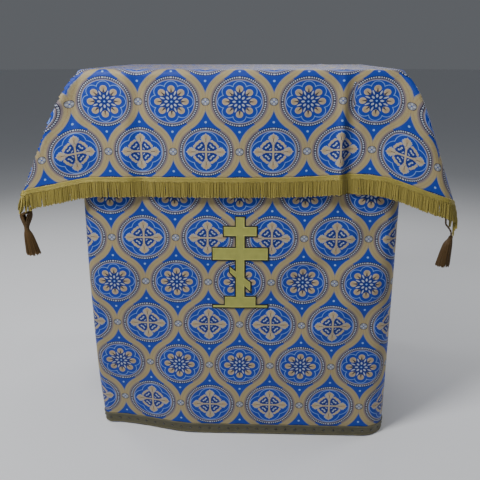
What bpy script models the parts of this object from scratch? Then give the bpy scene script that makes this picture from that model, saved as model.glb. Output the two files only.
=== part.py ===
"""Altar cloth set draped on a plain altar table.

The table stands on the floor. A box-shaped under-cover falls from its top to the floor, with a braid
round its foot and a three-bar cross sewn on its front. A square over-cover lies on top and hangs down on all
four sides, so that its corners stand away from the table as ears. Each of its edges carries a fringe and each
corner a tassel.

+Z is up, the front faces -Y, and the origin is the middle of the whole set's box on the floor.
"""

import math
from collections import namedtuple

import bmesh
import bpy
from mathutils import Vector

# Table, in metres
TABLE_WIDTH = 0.785
TABLE_DEPTH = 0.635
TABLE_HEIGHT = 0.9954
TOP_THICKNESS = 0.025
TOP_EDGE_RADIUS = 0.010
LEG_SIZE = 0.045
LEG_INSET = 0.055
RAIL_HEIGHT = 0.070
RAIL_THICKNESS = 0.020
JOINT_GAP = 0.0003

# Cloth, in metres
CLOTH_THICKNESS = 0.0015
EDGE_CLEARANCE = 0.0025
LAYER_GAP = 0.0004
UNDER_ROLL = 0.012
UNDER_RIM_CORNER = 0.013
OVER_ROLL = 0.014

# Under-cover: its walls stand out from its rim by these amounts at each height, and its corners are rounded, the
# front left one more tightly than the others
Level = namedtuple("Level", "height left right front back corner front_left")
UNDER_LEVELS = (
    Level(0.905, 0.004, 0.005, 0.003, 0.003, 0.022, 0.020),
    Level(0.800, 0.007, 0.010, 0.004, 0.006, 0.030, 0.024),
    Level(0.690, 0.009, 0.014, 0.005, 0.009, 0.038, 0.026),
    Level(0.580, 0.010, 0.015, 0.007, 0.011, 0.044, 0.027),
    Level(0.470, 0.010, 0.015, 0.009, 0.012, 0.048, 0.027),
    Level(0.360, 0.010, 0.015, 0.010, 0.013, 0.052, 0.027),
    Level(0.250, 0.010, 0.015, 0.012, 0.014, 0.056, 0.027),
    Level(0.130, 0.009, 0.015, 0.014, 0.015, 0.060, 0.027),
    Level(0.032, 0.005, 0.014, 0.015, 0.016, 0.064, 0.027),
    Level(0.001, 0.001, 0.012, 0.016, 0.016, 0.066, 0.027),
)
UNDER_FRONT_STEPS = 18
UNDER_SIDE_STEPS = 7
UNDER_BACK_STEPS = 8
UNDER_CORNER_STEPS = 4

# The under-cover's front left corner stands back from the others: how far up to the top of the hem, the height
# where that ends, how its depth falls off on the way, and the stretches of the front and of the left wall that
# turn back
CORNER_BACK = 0.045
CORNER_BACK_HEM = 0.032
CORNER_BACK_HEIGHT = 0.50
CORNER_BACK_FALL = 1.5
CORNER_BACK_FRONT = (-0.12, -0.36)
CORNER_BACK_SIDE = (0.0, -0.27)

# Soft folds in the under-cover: a line on one wall from (along, height) to (along, height), how far it is
# pushed out or in, and half its width. CREASE_FADE keeps its ends shallower than its middle.
Crease = namedtuple("Crease", "wall start_along start_height end_along end_height push reach")
CREASE_FADE = 0.12
UNDER_CREASES = (
    Crease("front", 0.400, 0.615, 0.050, 0.385, -0.006, 0.050),
    Crease("front", 0.410, 0.500, 0.150, 0.260, 0.007, 0.060),
    Crease("front", 0.300, 0.720, 0.285, 0.560, 0.004, 0.030),
    Crease("front", -0.330, 0.620, -0.300, 0.000, 0.004, 0.060),
    Crease("left", -0.150, 0.800, -0.190, 0.000, 0.007, 0.080),
    Crease("left", 0.140, 0.700, 0.170, 0.000, 0.006, 0.080),
    Crease("right", 0.120, 0.800, 0.160, 0.000, 0.006, 0.080),
    Crease("right", -0.160, 0.600, -0.130, 0.000, 0.006, 0.070),
    Crease("back", 0.180, 0.800, 0.220, 0.000, 0.007, 0.090),
    Crease("back", -0.170, 0.700, -0.210, 0.000, 0.006, 0.090),
)

# Hem braid
BRAID_HEIGHT = 0.028
BRAID_THICKNESS = 0.0012
BRAID_LIFT = 0.0015
BRAID_GAP = 0.0004

# Over-cover: its flat size and how far it reaches past each edge of the top, flat
CLOTH_SIZE = 1.165
LEFT_REACH = 0.169
OVER_CORNER = 0.018
BIAS_STRETCH = 0.05

# Hem of the over-cover, a row for each fold: the place on the flat hem from the middle of its side, the
# place below which that point hangs, how far it stands out from the rim, how far the cloth above it bellies
# out, and how much shorter (or, below zero, longer) it hangs
Fold = namedtuple("Fold", "at foot out belly pull")
FRONT_FOLDS = (
    Fold(-0.535, -0.518, 0.032, 0.016, -0.004),
    Fold(-0.495, -0.480, 0.033, 0.008, -0.004),
    Fold(-0.450, -0.436, 0.030, 0.003, -0.002),
    Fold(-0.400, -0.387, 0.025, 0.003, 0.000),
    Fold(-0.360, -0.348, 0.022, 0.002, 0.000),
    Fold(-0.325, -0.3145, 0.020, 0.000, 0.000),
    Fold(-0.295, -0.286, 0.017, 0.000, 0.000),
    Fold(-0.272, -0.2645, 0.011, 0.000, 0.000),
    Fold(-0.250, -0.2445, 0.008, 0.000, 0.000),
    Fold(-0.225, -0.221, 0.012, 0.000, 0.000),
    Fold(-0.120, -0.119, 0.014, 0.002, 0.000),
    Fold(0.000, 0.000, 0.014, 0.003, 0.000),
    Fold(0.120, 0.120, 0.014, 0.002, 0.002),
    Fold(0.200, 0.199, 0.015, 0.000, 0.006),
    Fold(0.235, 0.2335, 0.020, 0.000, 0.009),
    Fold(0.252, 0.249, 0.026, 0.000, 0.010),
    Fold(0.270, 0.262, 0.013, 0.000, 0.011),
    Fold(0.290, 0.2795, 0.009, 0.000, 0.011),
    Fold(0.315, 0.303, 0.013, 0.000, 0.011),
    Fold(0.345, 0.332, 0.020, 0.000, 0.009),
    Fold(0.400, 0.384, 0.032, 0.002, 0.002),
    Fold(0.450, 0.430, 0.044, 0.004, -0.006),
    Fold(0.500, 0.474, 0.054, 0.007, -0.012),
    Fold(0.540, 0.508, 0.055, 0.013, -0.012),
    Fold(0.570, 0.527, 0.041, 0.022, -0.008),
)
BACK_FOLDS = (
    Fold(-0.560, -0.505, 0.046, 0.016, -0.006),
    Fold(-0.500, -0.452, 0.056, 0.008, -0.006),
    Fold(-0.450, -0.409, 0.048, 0.003, -0.003),
    Fold(-0.400, -0.368, 0.035, 0.002, 0.000),
    Fold(-0.340, -0.317, 0.020, 0.000, 0.000),
    Fold(-0.290, -0.272, 0.011, 0.000, 0.000),
    Fold(-0.240, -0.228, 0.018, 0.000, 0.000),
    Fold(-0.180, -0.172, 0.016, 0.000, 0.000),
    Fold(0.000, 0.000, 0.014, 0.002, 0.000),
    Fold(0.160, 0.158, 0.015, 0.000, 0.000),
    Fold(0.225, 0.220, 0.021, 0.000, 0.000),
    Fold(0.280, 0.273, 0.010, 0.000, 0.000),
    Fold(0.330, 0.320, 0.016, 0.000, 0.000),
    Fold(0.400, 0.385, 0.030, 0.002, 0.000),
    Fold(0.450, 0.430, 0.040, 0.003, -0.003),
    Fold(0.500, 0.477, 0.045, 0.008, -0.004),
    Fold(0.540, 0.514, 0.040, 0.016, -0.004),
)
RIGHT_FOLDS = (
    Fold(-0.540, -0.312, 0.128, 0.024, -0.004),
    Fold(-0.500, -0.276, 0.115, 0.018, -0.002),
    Fold(-0.460, -0.256, 0.084, 0.011, 0.000),
    Fold(-0.420, -0.266, 0.050, 0.004, 0.000),
    Fold(-0.380, -0.286, 0.026, 0.002, 0.000),
    Fold(-0.345, -0.280, 0.017, 0.002, 0.000),
    Fold(-0.315, -0.260, 0.020, 0.002, 0.000),
    Fold(-0.270, -0.222, 0.034, 0.002, 0.000),
    Fold(-0.225, -0.184, 0.040, 0.002, 0.000),
    Fold(-0.175, -0.146, 0.026, 0.002, 0.000),
    Fold(-0.100, -0.086, 0.018, 0.002, 0.000),
    Fold(0.000, 0.000, 0.018, 0.002, 0.000),
    Fold(0.090, 0.080, 0.018, 0.002, 0.000),
    Fold(0.160, 0.140, 0.026, 0.002, 0.000),
    Fold(0.210, 0.178, 0.038, 0.002, 0.000),
    Fold(0.260, 0.220, 0.032, 0.002, 0.000),
    Fold(0.315, 0.262, 0.020, 0.002, 0.000),
    Fold(0.350, 0.284, 0.017, 0.002, 0.000),
    Fold(0.385, 0.288, 0.028, 0.002, 0.000),
    Fold(0.425, 0.268, 0.054, 0.004, 0.000),
    Fold(0.465, 0.258, 0.086, 0.008, 0.000),
    Fold(0.505, 0.276, 0.112, 0.012, -0.002),
    Fold(0.545, 0.308, 0.124, 0.016, -0.004),
)
LEFT_SIDE_SLACK = 0.92

# Where each corner of the over-cover hangs: how far outside the table's two rims, how far its ridge bellies out
# and how much longer it hangs
Ear = namedtuple("Ear", "side_out end_out belly pull")
EARS = {
    "front_right": Ear(0.1305, 0.024, 0.028, -0.004),
    "back_right": Ear(0.126, 0.026, 0.018, -0.004),
    "back_left": Ear(0.138, 0.028, 0.026, -0.004),
    "front_left": Ear(0.1475, 0.028, 0.028, -0.004),
}

# Fringe: a flat heading and the locks below it
HEADING_HEIGHT = 0.011
LOCK_LENGTH = 0.037
FRINGE_THICKNESS = 0.0018
FRINGE_GAP = 0.0026
TURN_LIMIT = 0.0012
FRINGE_END = 0.005
FRINGE_LEAN = 0.45
LOCKS_A_SIDE = 44
LOCK_SHARE = 0.72

# Tassels: outline of cord, yarn and skirt, measured down and inward from the cloth's corner. The skirt's locks
# part at the last ring but one and end at the last.
Ring = namedtuple("Ring", "drop width depth inward")
FUNNEL_RINGS = (
    Ring(0.002, 0.003, 0.003, 0.0145),
    Ring(0.051, 0.003, 0.003, 0.0145),
    Ring(0.057, 0.015, 0.009, 0.001),
    Ring(0.064, 0.017, 0.010, 0.000),
    Ring(0.078, 0.012, 0.009, -0.001),
    Ring(0.095, 0.0055, 0.0055, -0.002),
    Ring(0.101, 0.0055, 0.0055, -0.002),
    Ring(0.114, 0.011, 0.010, 0.001),
    Ring(0.167, 0.0195, 0.0155, 0.010),
)
PEAR_RINGS = (
    Ring(0.002, 0.003, 0.003, 0.010),
    Ring(0.049, 0.003, 0.003, 0.010),
    Ring(0.059, 0.003, 0.003, 0.002),
    Ring(0.070, 0.003, 0.003, -0.005),
    Ring(0.081, 0.0035, 0.0035, -0.006),
    Ring(0.090, 0.006, 0.006, -0.004),
    Ring(0.101, 0.011, 0.010, 0.000),
    Ring(0.160, 0.0185, 0.0150, 0.009),
)
TASSELS = {
    "front_right": PEAR_RINGS,
    "back_right": FUNNEL_RINGS,
    "back_left": PEAR_RINGS,
    "front_left": FUNNEL_RINGS,
}
TASSEL_SIDES = 16
TASSEL_BEHIND = 0.010
CORE_DROP = 0.002
CORE_SHARE = 0.45
LOCK_INNER_SHARE = 0.5

# Cross on the front, measured from the middle of its stem and from the floor
Bar = namedtuple("Bar", "half_width left_bottom left_top right_bottom right_top")
CROSS_ACROSS = 0.0015
CROSS_STEM = 0.01425
CROSS_TOP = 0.637
CROSS_BOTTOM = 0.383
CROSS_BARS = (
    Bar(0.0755, CROSS_BOTTOM, 0.3947, CROSS_BOTTOM, 0.3947),
    Bar(0.0440, 0.3947, 0.4192, 0.3947, 0.4192),
    Bar(0.0300, 0.4835, 0.5058, 0.4251, 0.4585),
    Bar(0.0750, 0.5167, 0.5548, 0.5167, 0.5548),
    Bar(0.0455, 0.5813, 0.6117, 0.5813, 0.6117),
)
CROSS_THICKNESS = 0.0012
EDGING_THICKNESS = 0.0018
EDGING_WIDTH = 0.0045
APPLIQUE_GAP = 0.0011
MITRE_LIMIT = 0.3

# Edges that turn less than these stay smooth
CLOTH_SMOOTH = math.radians(50)
BRAID_SMOOTH = math.radians(40)
TASSEL_SMOOTH = math.radians(60)

# Colour, roughness and metallic value of each material
FINISHES = {
    "wood": ((0.33, 0.22, 0.13), 0.6, 0.0),
    "brocade": ((0.05, 0.16, 0.46), 0.45, 0.0),
    "braid": ((0.25, 0.19, 0.08), 0.5, 0.2),
    "gold_cloth": ((0.40, 0.32, 0.10), 0.45, 0.2),
    "black_cord": ((0.02, 0.02, 0.02), 0.7, 0.0),
    "fringe": ((0.36, 0.28, 0.07), 0.5, 0.2),
    "tassel": ((0.12, 0.07, 0.02), 0.6, 0.1),
}

RIM_STEP = EDGE_CLEARANCE + CLOTH_THICKNESS
UNDER_HALF = (TABLE_WIDTH / 2 + RIM_STEP, TABLE_DEPTH / 2 + RIM_STEP)
UNDER_TOP = TABLE_HEIGHT + LAYER_GAP + CLOTH_THICKNESS
OVER_HALF = (UNDER_HALF[0] + RIM_STEP, UNDER_HALF[1] + RIM_STEP)
OVER_TOP = UNDER_TOP + LAYER_GAP + CLOTH_THICKNESS
RIGHT_REACH = CLOTH_SIZE - 2 * OVER_HALF[0] - LEFT_REACH
END_REACH = CLOTH_SIZE / 2 - OVER_HALF[1]
ROLL_EXTRA = math.pi / 2 - 1
LONGEST_STEP = 0.048
ROLL_ANGLES = (0.0, math.pi / 4, math.pi / 2)
HANG_SHARES = (0.10, 0.28, 0.52, 0.76, 1.0)

Side = namedtuple("Side", "name along outward half rim reach folds start end start_reach end_reach")


def mirrored(folds, scale):
    """The same folds in the other direction, standing out by a share of their depth."""
    return tuple(Fold(-f.at, -f.foot, f.out * scale, f.belly, f.pull) for f in reversed(folds))


def over_sides():
    """The four sides of the over-cover, anticlockwise from the front as seen from above."""
    half_x, half_y = OVER_HALF
    left_folds = mirrored(RIGHT_FOLDS, LEFT_SIDE_SLACK)
    return (
        Side("front", Vector((1, 0)), Vector((0, -1)), half_x, half_y, END_REACH, FRONT_FOLDS,
             "front_left", "front_right", LEFT_REACH, RIGHT_REACH),
        Side("right", Vector((0, 1)), Vector((1, 0)), half_y, half_x, RIGHT_REACH, RIGHT_FOLDS,
             "front_right", "back_right", END_REACH, END_REACH),
        Side("back", Vector((-1, 0)), Vector((0, 1)), half_x, half_y, END_REACH, BACK_FOLDS,
             "back_right", "back_left", RIGHT_REACH, LEFT_REACH),
        Side("left", Vector((0, -1)), Vector((-1, 0)), half_y, half_x, LEFT_REACH, left_folds,
             "back_left", "front_left", END_REACH, END_REACH),
    )


def corner_fold(side, name, sign, reach):
    """The hem's row at one of the cloth's corners, as one of its sides sees it."""
    ear = EARS[name]
    on_end = abs(side.outward.y) > 0.5
    beyond = ear.side_out if on_end else ear.end_out
    out = ear.end_out if on_end else ear.side_out
    return Fold(sign * (side.half + reach), sign * (side.half + beyond), out, ear.belly, ear.pull)


def side_rows(side):
    """All rows of one side's hem, from corner to corner."""
    start = corner_fold(side, side.start, -1, side.start_reach)
    end = corner_fold(side, side.end, 1, side.end_reach)
    return (start,) + side.folds + (end,)


def between_rows(rows, index, share):
    """A row between two rows, on a smooth curve through their neighbours."""
    first, second = rows[index], rows[index + 1]
    before = rows[max(index - 1, 0)]
    after = rows[min(index + 2, len(rows) - 1)]
    span = second.at - first.at
    values = []
    for a, b, c, d in zip(before, first, second, after):
        slope_start = (c - a) / (second.at - before.at) * span
        slope_end = (d - b) / (after.at - first.at) * span
        s2, s3 = share * share, share ** 3
        values.append((2 * s3 - 3 * s2 + 1) * b + (s3 - 2 * s2 + share) * slope_start
                      + (3 * s2 - 2 * s3) * c + (s3 - s2) * slope_end)
    return Fold(*values)


def hang_line(side, row):
    """Where one line of the over-cover leaves the rim, its outward direction, its foot and its belly."""
    straight = side.half - OVER_CORNER
    beyond = abs(row.at) - straight
    sign = math.copysign(1.0, row.at)
    if beyond <= 0:
        normal = side.outward.copy()
        rim = side.along * row.at + side.outward * side.rim
        length = side.reach
        stretch = 1.0
    else:
        turn = math.atan2(beyond, side.reach + OVER_CORNER)
        normal = side.along * (sign * math.sin(turn)) + side.outward * math.cos(turn)
        centre = side.along * (sign * straight) + side.outward * (side.rim - OVER_CORNER)
        rim = centre + normal * OVER_CORNER
        length = math.hypot(beyond, side.reach + OVER_CORNER) - OVER_CORNER
        stretch = 1 + BIAS_STRETCH * math.sin(2 * turn)
    length = (length - ROLL_EXTRA * OVER_ROLL) * stretch - row.pull
    foot = side.along * row.foot + side.outward * (side.rim + row.out)
    across = (foot - rim).length
    drop = math.sqrt(length * length - across * across)
    top = OVER_TOP - OVER_ROLL
    return rim, normal, Vector((foot.x, foot.y, top - drop)), row.belly


def over_column(side, row):
    """The points of one line of the over-cover, from the flat top to the hem."""
    rim, normal, foot, belly = hang_line(side, row)
    points = []
    for angle in ROLL_ANGLES:
        across = rim + normal * (OVER_ROLL * (math.sin(angle) - 1))
        points.append(Vector((across.x, across.y, OVER_TOP - OVER_ROLL * (1 - math.cos(angle)))))
    start = points[-1]
    for share in HANG_SHARES:
        point = start.lerp(foot, share)
        bow = belly * math.sin(math.pi * math.sqrt(share))
        points.append(point + Vector((normal.x * bow, normal.y * bow, 0)))
    return points


def over_columns():
    """Columns of the whole over-cover, with each side's own columns by name from corner to corner."""
    columns = []
    by_side = {}
    for side in over_sides():
        rows = side_rows(side)
        own = []
        for index in range(len(rows) - 1):
            own.append(over_column(side, rows[index]))
            if rows[index + 1].at - rows[index].at > LONGEST_STEP:
                own.append(over_column(side, between_rows(rows, index, 0.5)))
        by_side[side.name] = own + [over_column(side, rows[-1])]
        columns.extend(own)
    return columns, by_side


def make_material(name):
    colour, roughness, metallic = FINISHES[name]
    material = bpy.data.materials.new(name)
    material.use_nodes = True
    shader = material.node_tree.nodes["Principled BSDF"]
    shader.inputs["Base Color"].default_value = (*colour, 1)
    shader.inputs["Roughness"].default_value = roughness
    shader.inputs["Metallic"].default_value = metallic
    return material


def finish_object(name, mesh_data, finish, smooth_angle=None):
    """An object from a bmesh, in the scene, with its material."""
    mesh = bpy.data.meshes.new(name)
    mesh_data.normal_update()
    mesh_data.to_mesh(mesh)
    mesh_data.free()
    if smooth_angle is not None:
        mesh.shade_smooth()
        mesh.set_sharp_from_angle(angle=smooth_angle)
    mesh.materials.append(MATERIALS[finish])
    thing = bpy.data.objects.new(name, mesh)
    bpy.context.scene.collection.objects.link(thing)
    return thing


def thicken(thing, thickness):
    """Gives a surface its thickness behind its outer face."""
    solid = thing.modifiers.new("thickness", "SOLIDIFY")
    solid.thickness = thickness
    solid.offset = -1.0
    return thing


def tent(columns):
    """A surface from columns that run round it, closed by one flat face at their tops."""
    shape = bmesh.new()
    made = [[shape.verts.new(point) for point in column] for column in columns]
    count = len(made)
    for index in range(count):
        here, there = made[index], made[(index + 1) % count]
        for level in range(len(here) - 1):
            shape.faces.new((here[level], here[level + 1], there[level + 1], there[level]))
    shape.faces.new([column[0] for column in made])
    return shape


def box(name, low, high, finish, bevel=0.0):
    """A plain board between two corners."""
    shape = bmesh.new()
    bmesh.ops.create_cube(shape, size=1.0)
    low, high = Vector(low), Vector(high)
    for vertex in shape.verts:
        vertex.co = Vector(low[i] + (high[i] - low[i]) * (vertex.co[i] + 0.5) for i in range(3))
    if bevel:
        bmesh.ops.bevel(shape, geom=list(shape.edges), offset=bevel, segments=2, profile=0.5, affect="EDGES")
    return finish_object(name, shape, finish)


def make_table():
    """The top, four legs and four rails."""
    half_x, half_y = TABLE_WIDTH / 2, TABLE_DEPTH / 2
    under_top = TABLE_HEIGHT - TOP_THICKNESS
    top_high = (half_x, half_y, TABLE_HEIGHT)
    pieces = [box("table_top", (-half_x, -half_y, under_top), top_high, "wood", TOP_EDGE_RADIUS)]
    leg_x, leg_y = half_x - LEG_INSET, half_y - LEG_INSET
    leg_top = under_top - JOINT_GAP
    corners = {"front_left": (-1, -1), "front_right": (1, -1), "back_right": (1, 1), "back_left": (-1, 1)}
    for name, (x, y) in corners.items():
        xs = sorted((x * leg_x, x * (leg_x - LEG_SIZE)))
        ys = sorted((y * leg_y, y * (leg_y - LEG_SIZE)))
        pieces.append(box("table_leg_" + name, (xs[0], ys[0], 0), (xs[1], ys[1], leg_top), "wood"))
    rail_low = leg_top - RAIL_HEIGHT
    inner_x = leg_x - LEG_SIZE - JOINT_GAP
    inner_y = leg_y - LEG_SIZE - JOINT_GAP
    middle = (LEG_SIZE - RAIL_THICKNESS) / 2
    for name, sign in (("front", -1), ("back", 1)):
        ys = sorted((sign * (leg_y - middle), sign * (leg_y - middle - RAIL_THICKNESS)))
        low, high = (-inner_x, ys[0], rail_low), (inner_x, ys[1], leg_top)
        pieces.append(box("table_rail_" + name, low, high, "wood"))
    for name, sign in (("left", -1), ("right", 1)):
        xs = sorted((sign * (leg_x - middle), sign * (leg_x - middle - RAIL_THICKNESS)))
        low, high = (xs[0], -inner_y, rail_low), (xs[1], inner_y, leg_top)
        pieces.append(box("table_rail_" + name, low, high, "wood"))
    return pieces


def crease_push(wall, along, height):
    """How far the soft folds push a point of one wall of the under-cover out."""
    total = 0.0
    for crease in UNDER_CREASES:
        if crease.wall != wall:
            continue
        start = Vector((crease.start_along, crease.start_height))
        run = Vector((crease.end_along, crease.end_height)) - start
        share = min(max((Vector((along, height)) - start).dot(run) / run.length_squared, 0.0), 1.0)
        away = (Vector((along, height)) - start - run * share).length
        if away < crease.reach:
            fade = math.sin(math.pi * (CREASE_FADE + (1 - 2 * CREASE_FADE) * share))
            total += crease.push * fade * 0.5 * (1 + math.cos(math.pi * away / crease.reach))
    return total


def smooth_step(start, end, value):
    """0 at the start, 1 at the end, and a soft slope between them."""
    share = min(max((value - start) / (end - start), 0.0), 1.0)
    return share * share * (3 - 2 * share)


def corner_back(point, height):
    """How far back the front left corner takes a point of the under-cover."""
    left = smooth_step(*CORNER_BACK_FRONT, point.x) * smooth_step(*CORNER_BACK_SIDE, point.y)
    low = (CORNER_BACK_HEIGHT - height) / (CORNER_BACK_HEIGHT - CORNER_BACK_HEM)
    return CORNER_BACK * min(max(low, 0.0), 1.0) ** CORNER_BACK_FALL * left


def under_outline(level):
    """The plan of the under-cover at one height, anticlockwise from the front wall's left end."""
    low = Vector((-UNDER_HALF[0] - level.left, -UNDER_HALF[1] - level.front))
    high = Vector((UNDER_HALF[0] + level.right, UNDER_HALF[1] + level.back))
    corners = (low, Vector((high.x, low.y)), high, Vector((low.x, high.y)))
    radii = (level.front_left, level.corner, level.corner, level.corner)
    walls = (
        ("front", Vector((0, -1)), UNDER_FRONT_STEPS),
        ("right", Vector((1, 0)), UNDER_SIDE_STEPS),
        ("back", Vector((0, 1)), UNDER_BACK_STEPS),
        ("left", Vector((-1, 0)), UNDER_SIDE_STEPS),
    )
    outline = []
    for index, (wall, normal, steps) in enumerate(walls):
        following = (index + 1) % len(walls)
        along = (corners[following] - corners[index]).normalized()
        start = corners[index] + along * radii[index]
        end = corners[following] - along * radii[following]
        for step in range(steps + 1):
            point = start.lerp(end, step / steps)
            push = crease_push(wall, point.dot(along), level.height)
            outline.append((point + normal * push, normal))
        centre = end - normal * radii[following]
        for step in range(1, UNDER_CORNER_STEPS):
            angle = math.pi / 2 * step / UNDER_CORNER_STEPS
            turned = normal * math.cos(angle) + along * math.sin(angle)
            outline.append((centre + turned * radii[following], turned))
    return [(point + Vector((0, corner_back(point, level.height))), normal) for point, normal in outline]


def under_columns():
    """Columns of the under-cover, from the flat top to the hem."""
    columns = []
    rim = under_outline(Level(UNDER_TOP - UNDER_ROLL, 0, 0, 0, 0, UNDER_RIM_CORNER, UNDER_RIM_CORNER))
    for point, normal in rim:
        column = []
        for angle in ROLL_ANGLES:
            across = point + normal * (UNDER_ROLL * (math.sin(angle) - 1))
            column.append(Vector((across.x, across.y, UNDER_TOP - UNDER_ROLL * (1 - math.cos(angle)))))
        columns.append(column)
    for level in UNDER_LEVELS:
        for column, (point, normal) in zip(columns, under_outline(level)):
            column.append(Vector((point.x, point.y, level.height)))
    return columns


def make_covers(columns):
    """The two brocade cloths."""
    under = finish_object("under_cover", tent(under_columns()), "brocade", CLOTH_SMOOTH)
    over = finish_object("over_cover", tent(columns), "brocade", CLOTH_SMOOTH)
    return [thicken(under, CLOTH_THICKNESS), thicken(over, CLOTH_THICKNESS)]


def at_height(upper, lower, height, lift):
    """A loop at a height between two outlines, moved outward."""
    share = (upper[0].height - height) / (upper[0].height - lower[0].height)
    loop = []
    for (high, normal), (low, _) in zip(upper[1], lower[1]):
        point = high.lerp(low, share) + normal * lift
        loop.append(Vector((point.x, point.y, height)))
    return loop


def make_braid():
    """The galloon round the foot of the under-cover, a closed band just outside it."""
    lower = (UNDER_LEVELS[-1], under_outline(UNDER_LEVELS[-1]))
    upper = (UNDER_LEVELS[-2], under_outline(UNDER_LEVELS[-2]))
    bottom = UNDER_LEVELS[-1].height + BRAID_LIFT
    loops = []
    for height, lift in ((bottom, BRAID_GAP), (bottom + BRAID_HEIGHT, BRAID_GAP),
                         (bottom + BRAID_HEIGHT, BRAID_GAP + BRAID_THICKNESS),
                         (bottom, BRAID_GAP + BRAID_THICKNESS)):
        loops.append(at_height(upper, lower, height, lift))
    shape = bmesh.new()
    made = [[shape.verts.new(point) for point in loop] for loop in loops]
    count = len(made[0])
    for first, second in zip(made, made[1:] + made[:1]):
        for index in range(count):
            following = (index + 1) % count
            shape.faces.new((first[index], second[index], second[following], first[following]))
    bmesh.ops.recalc_face_normals(shape, faces=list(shape.faces))
    return finish_object("hem_braid", shape, "braid", BRAID_SMOOTH)


def cross_outline():
    """Points round the three-bar cross, anticlockwise from the foot's right end."""
    right, left = [], []
    for bar in CROSS_BARS:
        reach = (bar.half_width - CROSS_STEM) / (2 * bar.half_width)
        bottom_rise = (bar.right_bottom - bar.left_bottom) * reach
        top_rise = (bar.right_top - bar.left_top) * reach
        right.extend(((CROSS_STEM, bar.right_bottom - bottom_rise), (bar.half_width, bar.right_bottom),
                      (bar.half_width, bar.right_top), (CROSS_STEM, bar.right_top - top_rise)))
        left.extend(((-CROSS_STEM, bar.left_bottom + bottom_rise), (-bar.half_width, bar.left_bottom),
                     (-bar.half_width, bar.left_top), (-CROSS_STEM, bar.left_top + top_rise)))
    foot, step = CROSS_BARS[0], CROSS_BARS[1]
    right = [(foot.half_width, foot.right_bottom), (foot.half_width, foot.right_top),
             (step.half_width, step.right_bottom)] + right[6:] + [(CROSS_STEM, CROSS_TOP)]
    left = [(-foot.half_width, foot.left_bottom), (-foot.half_width, foot.left_top),
            (-step.half_width, step.left_bottom)] + left[6:] + [(-CROSS_STEM, CROSS_TOP)]
    return [Vector(point) for point in right + left[::-1]]


def inset(outline, distance):
    """The outline moved inward by a distance, with mitred corners."""
    moved = []
    count = len(outline)
    for index, point in enumerate(outline):
        arrive = (point - outline[index - 1]).normalized()
        leave = (outline[(index + 1) % count] - point).normalized()
        inner_arrive, inner_leave = Vector((-arrive.y, arrive.x)), Vector((-leave.y, leave.x))
        mitre = (inner_arrive + inner_leave).normalized()
        moved.append(point + mitre * (distance / max(mitre.dot(inner_leave), MITRE_LIMIT)))
    return moved


def front_face(height):
    """How far forward the middle of the under-cover's front stands at a height."""
    for upper, lower in zip(UNDER_LEVELS, UNDER_LEVELS[1:]):
        if lower.height <= height <= upper.height:
            share = (upper.height - height) / (upper.height - lower.height)
            return -UNDER_HALF[1] - (upper.front + (lower.front - upper.front) * share)
    return -UNDER_HALF[1]


def on_front(point, lift):
    """A point of the cross's drawing, just in front of the under-cover."""
    return Vector((CROSS_ACROSS + point.x, front_face(point.y) - lift, point.y))


def plate(name, loops, thickness, finish):
    """A flat piece on the front: one outline filled, or the band between two outlines."""
    shape = bmesh.new()
    lift = APPLIQUE_GAP + thickness
    backs = [[shape.verts.new(on_front(point, APPLIQUE_GAP)) for point in loop] for loop in loops]
    fronts = [[shape.verts.new(on_front(point, lift)) for point in loop] for loop in loops]
    count = len(loops[0])
    if len(loops) == 1:
        shape.faces.new(fronts[0])
        shape.faces.new(backs[0][::-1])
    for index in range(count):
        following = (index + 1) % count
        if len(loops) == 2:
            shape.faces.new((fronts[0][index], fronts[0][following], fronts[1][following], fronts[1][index]))
            shape.faces.new((backs[1][index], backs[1][following], backs[0][following], backs[0][index]))
            shape.faces.new((fronts[1][index], fronts[1][following], backs[1][following], backs[1][index]))
        shape.faces.new((backs[0][index], backs[0][following], fronts[0][following], fronts[0][index]))
    bmesh.ops.recalc_face_normals(shape, faces=list(shape.faces))
    return finish_object(name, shape, finish)


def make_cross():
    """The cross and the cord round it."""
    outline = cross_outline()
    edging = plate("cross_edging", [outline, inset(outline, EDGING_WIDTH)], EDGING_THICKNESS, "black_cord")
    cloth = inset(outline, EDGING_WIDTH + JOINT_GAP)
    cross = plate("cross_applique", [cloth], CROSS_THICKNESS, "gold_cloth")
    return [cross, edging]


def hem_path(columns):
    """The hem by distance along it: its points and the direction in which the cloth hangs there."""
    path = []
    travelled = 0.0
    for index, column in enumerate(columns):
        if index:
            travelled += (column[-1] - columns[index - 1][-1]).length
        hang = (column[-1] - column[-3]).normalized()
        path.append((travelled, column[-1], hang))
    return path


def on_path(path, distance):
    """The point and hanging direction at a distance along the hem."""
    for (start, first, hang_first), (end, second, hang_second) in zip(path, path[1:]):
        if distance <= end:
            share = (distance - start) / (end - start)
            return first.lerp(second, share), hang_first.lerp(hang_second, share)
    return path[-1][1], path[-1][2]


def fringe_edges(path):
    """Where the heading needs points: both edges of each lock, and the sharper turns of the hem."""
    pitch = (path[-1][0] - 2 * FRINGE_END) / LOCKS_A_SIDE
    margin = pitch * (1 - LOCK_SHARE) / 2
    edges = []
    for lock in range(LOCKS_A_SIDE):
        start = FRINGE_END + lock * pitch
        edges.append((start + margin, True))
        edges.append((start + pitch - margin, False))
    turns = []
    for (first, in_lock), (second, _) in zip(edges, edges[1:]):
        start, end = on_path(path, first)[0], on_path(path, second)[0]
        chord = (end - start).normalized()
        for travelled, point, _ in path:
            if first < travelled < second:
                away = point - start - chord * (point - start).dot(chord)
                if away.length > TURN_LIMIT:
                    turns.append((travelled, in_lock))
    return sorted(edges + turns)


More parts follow.
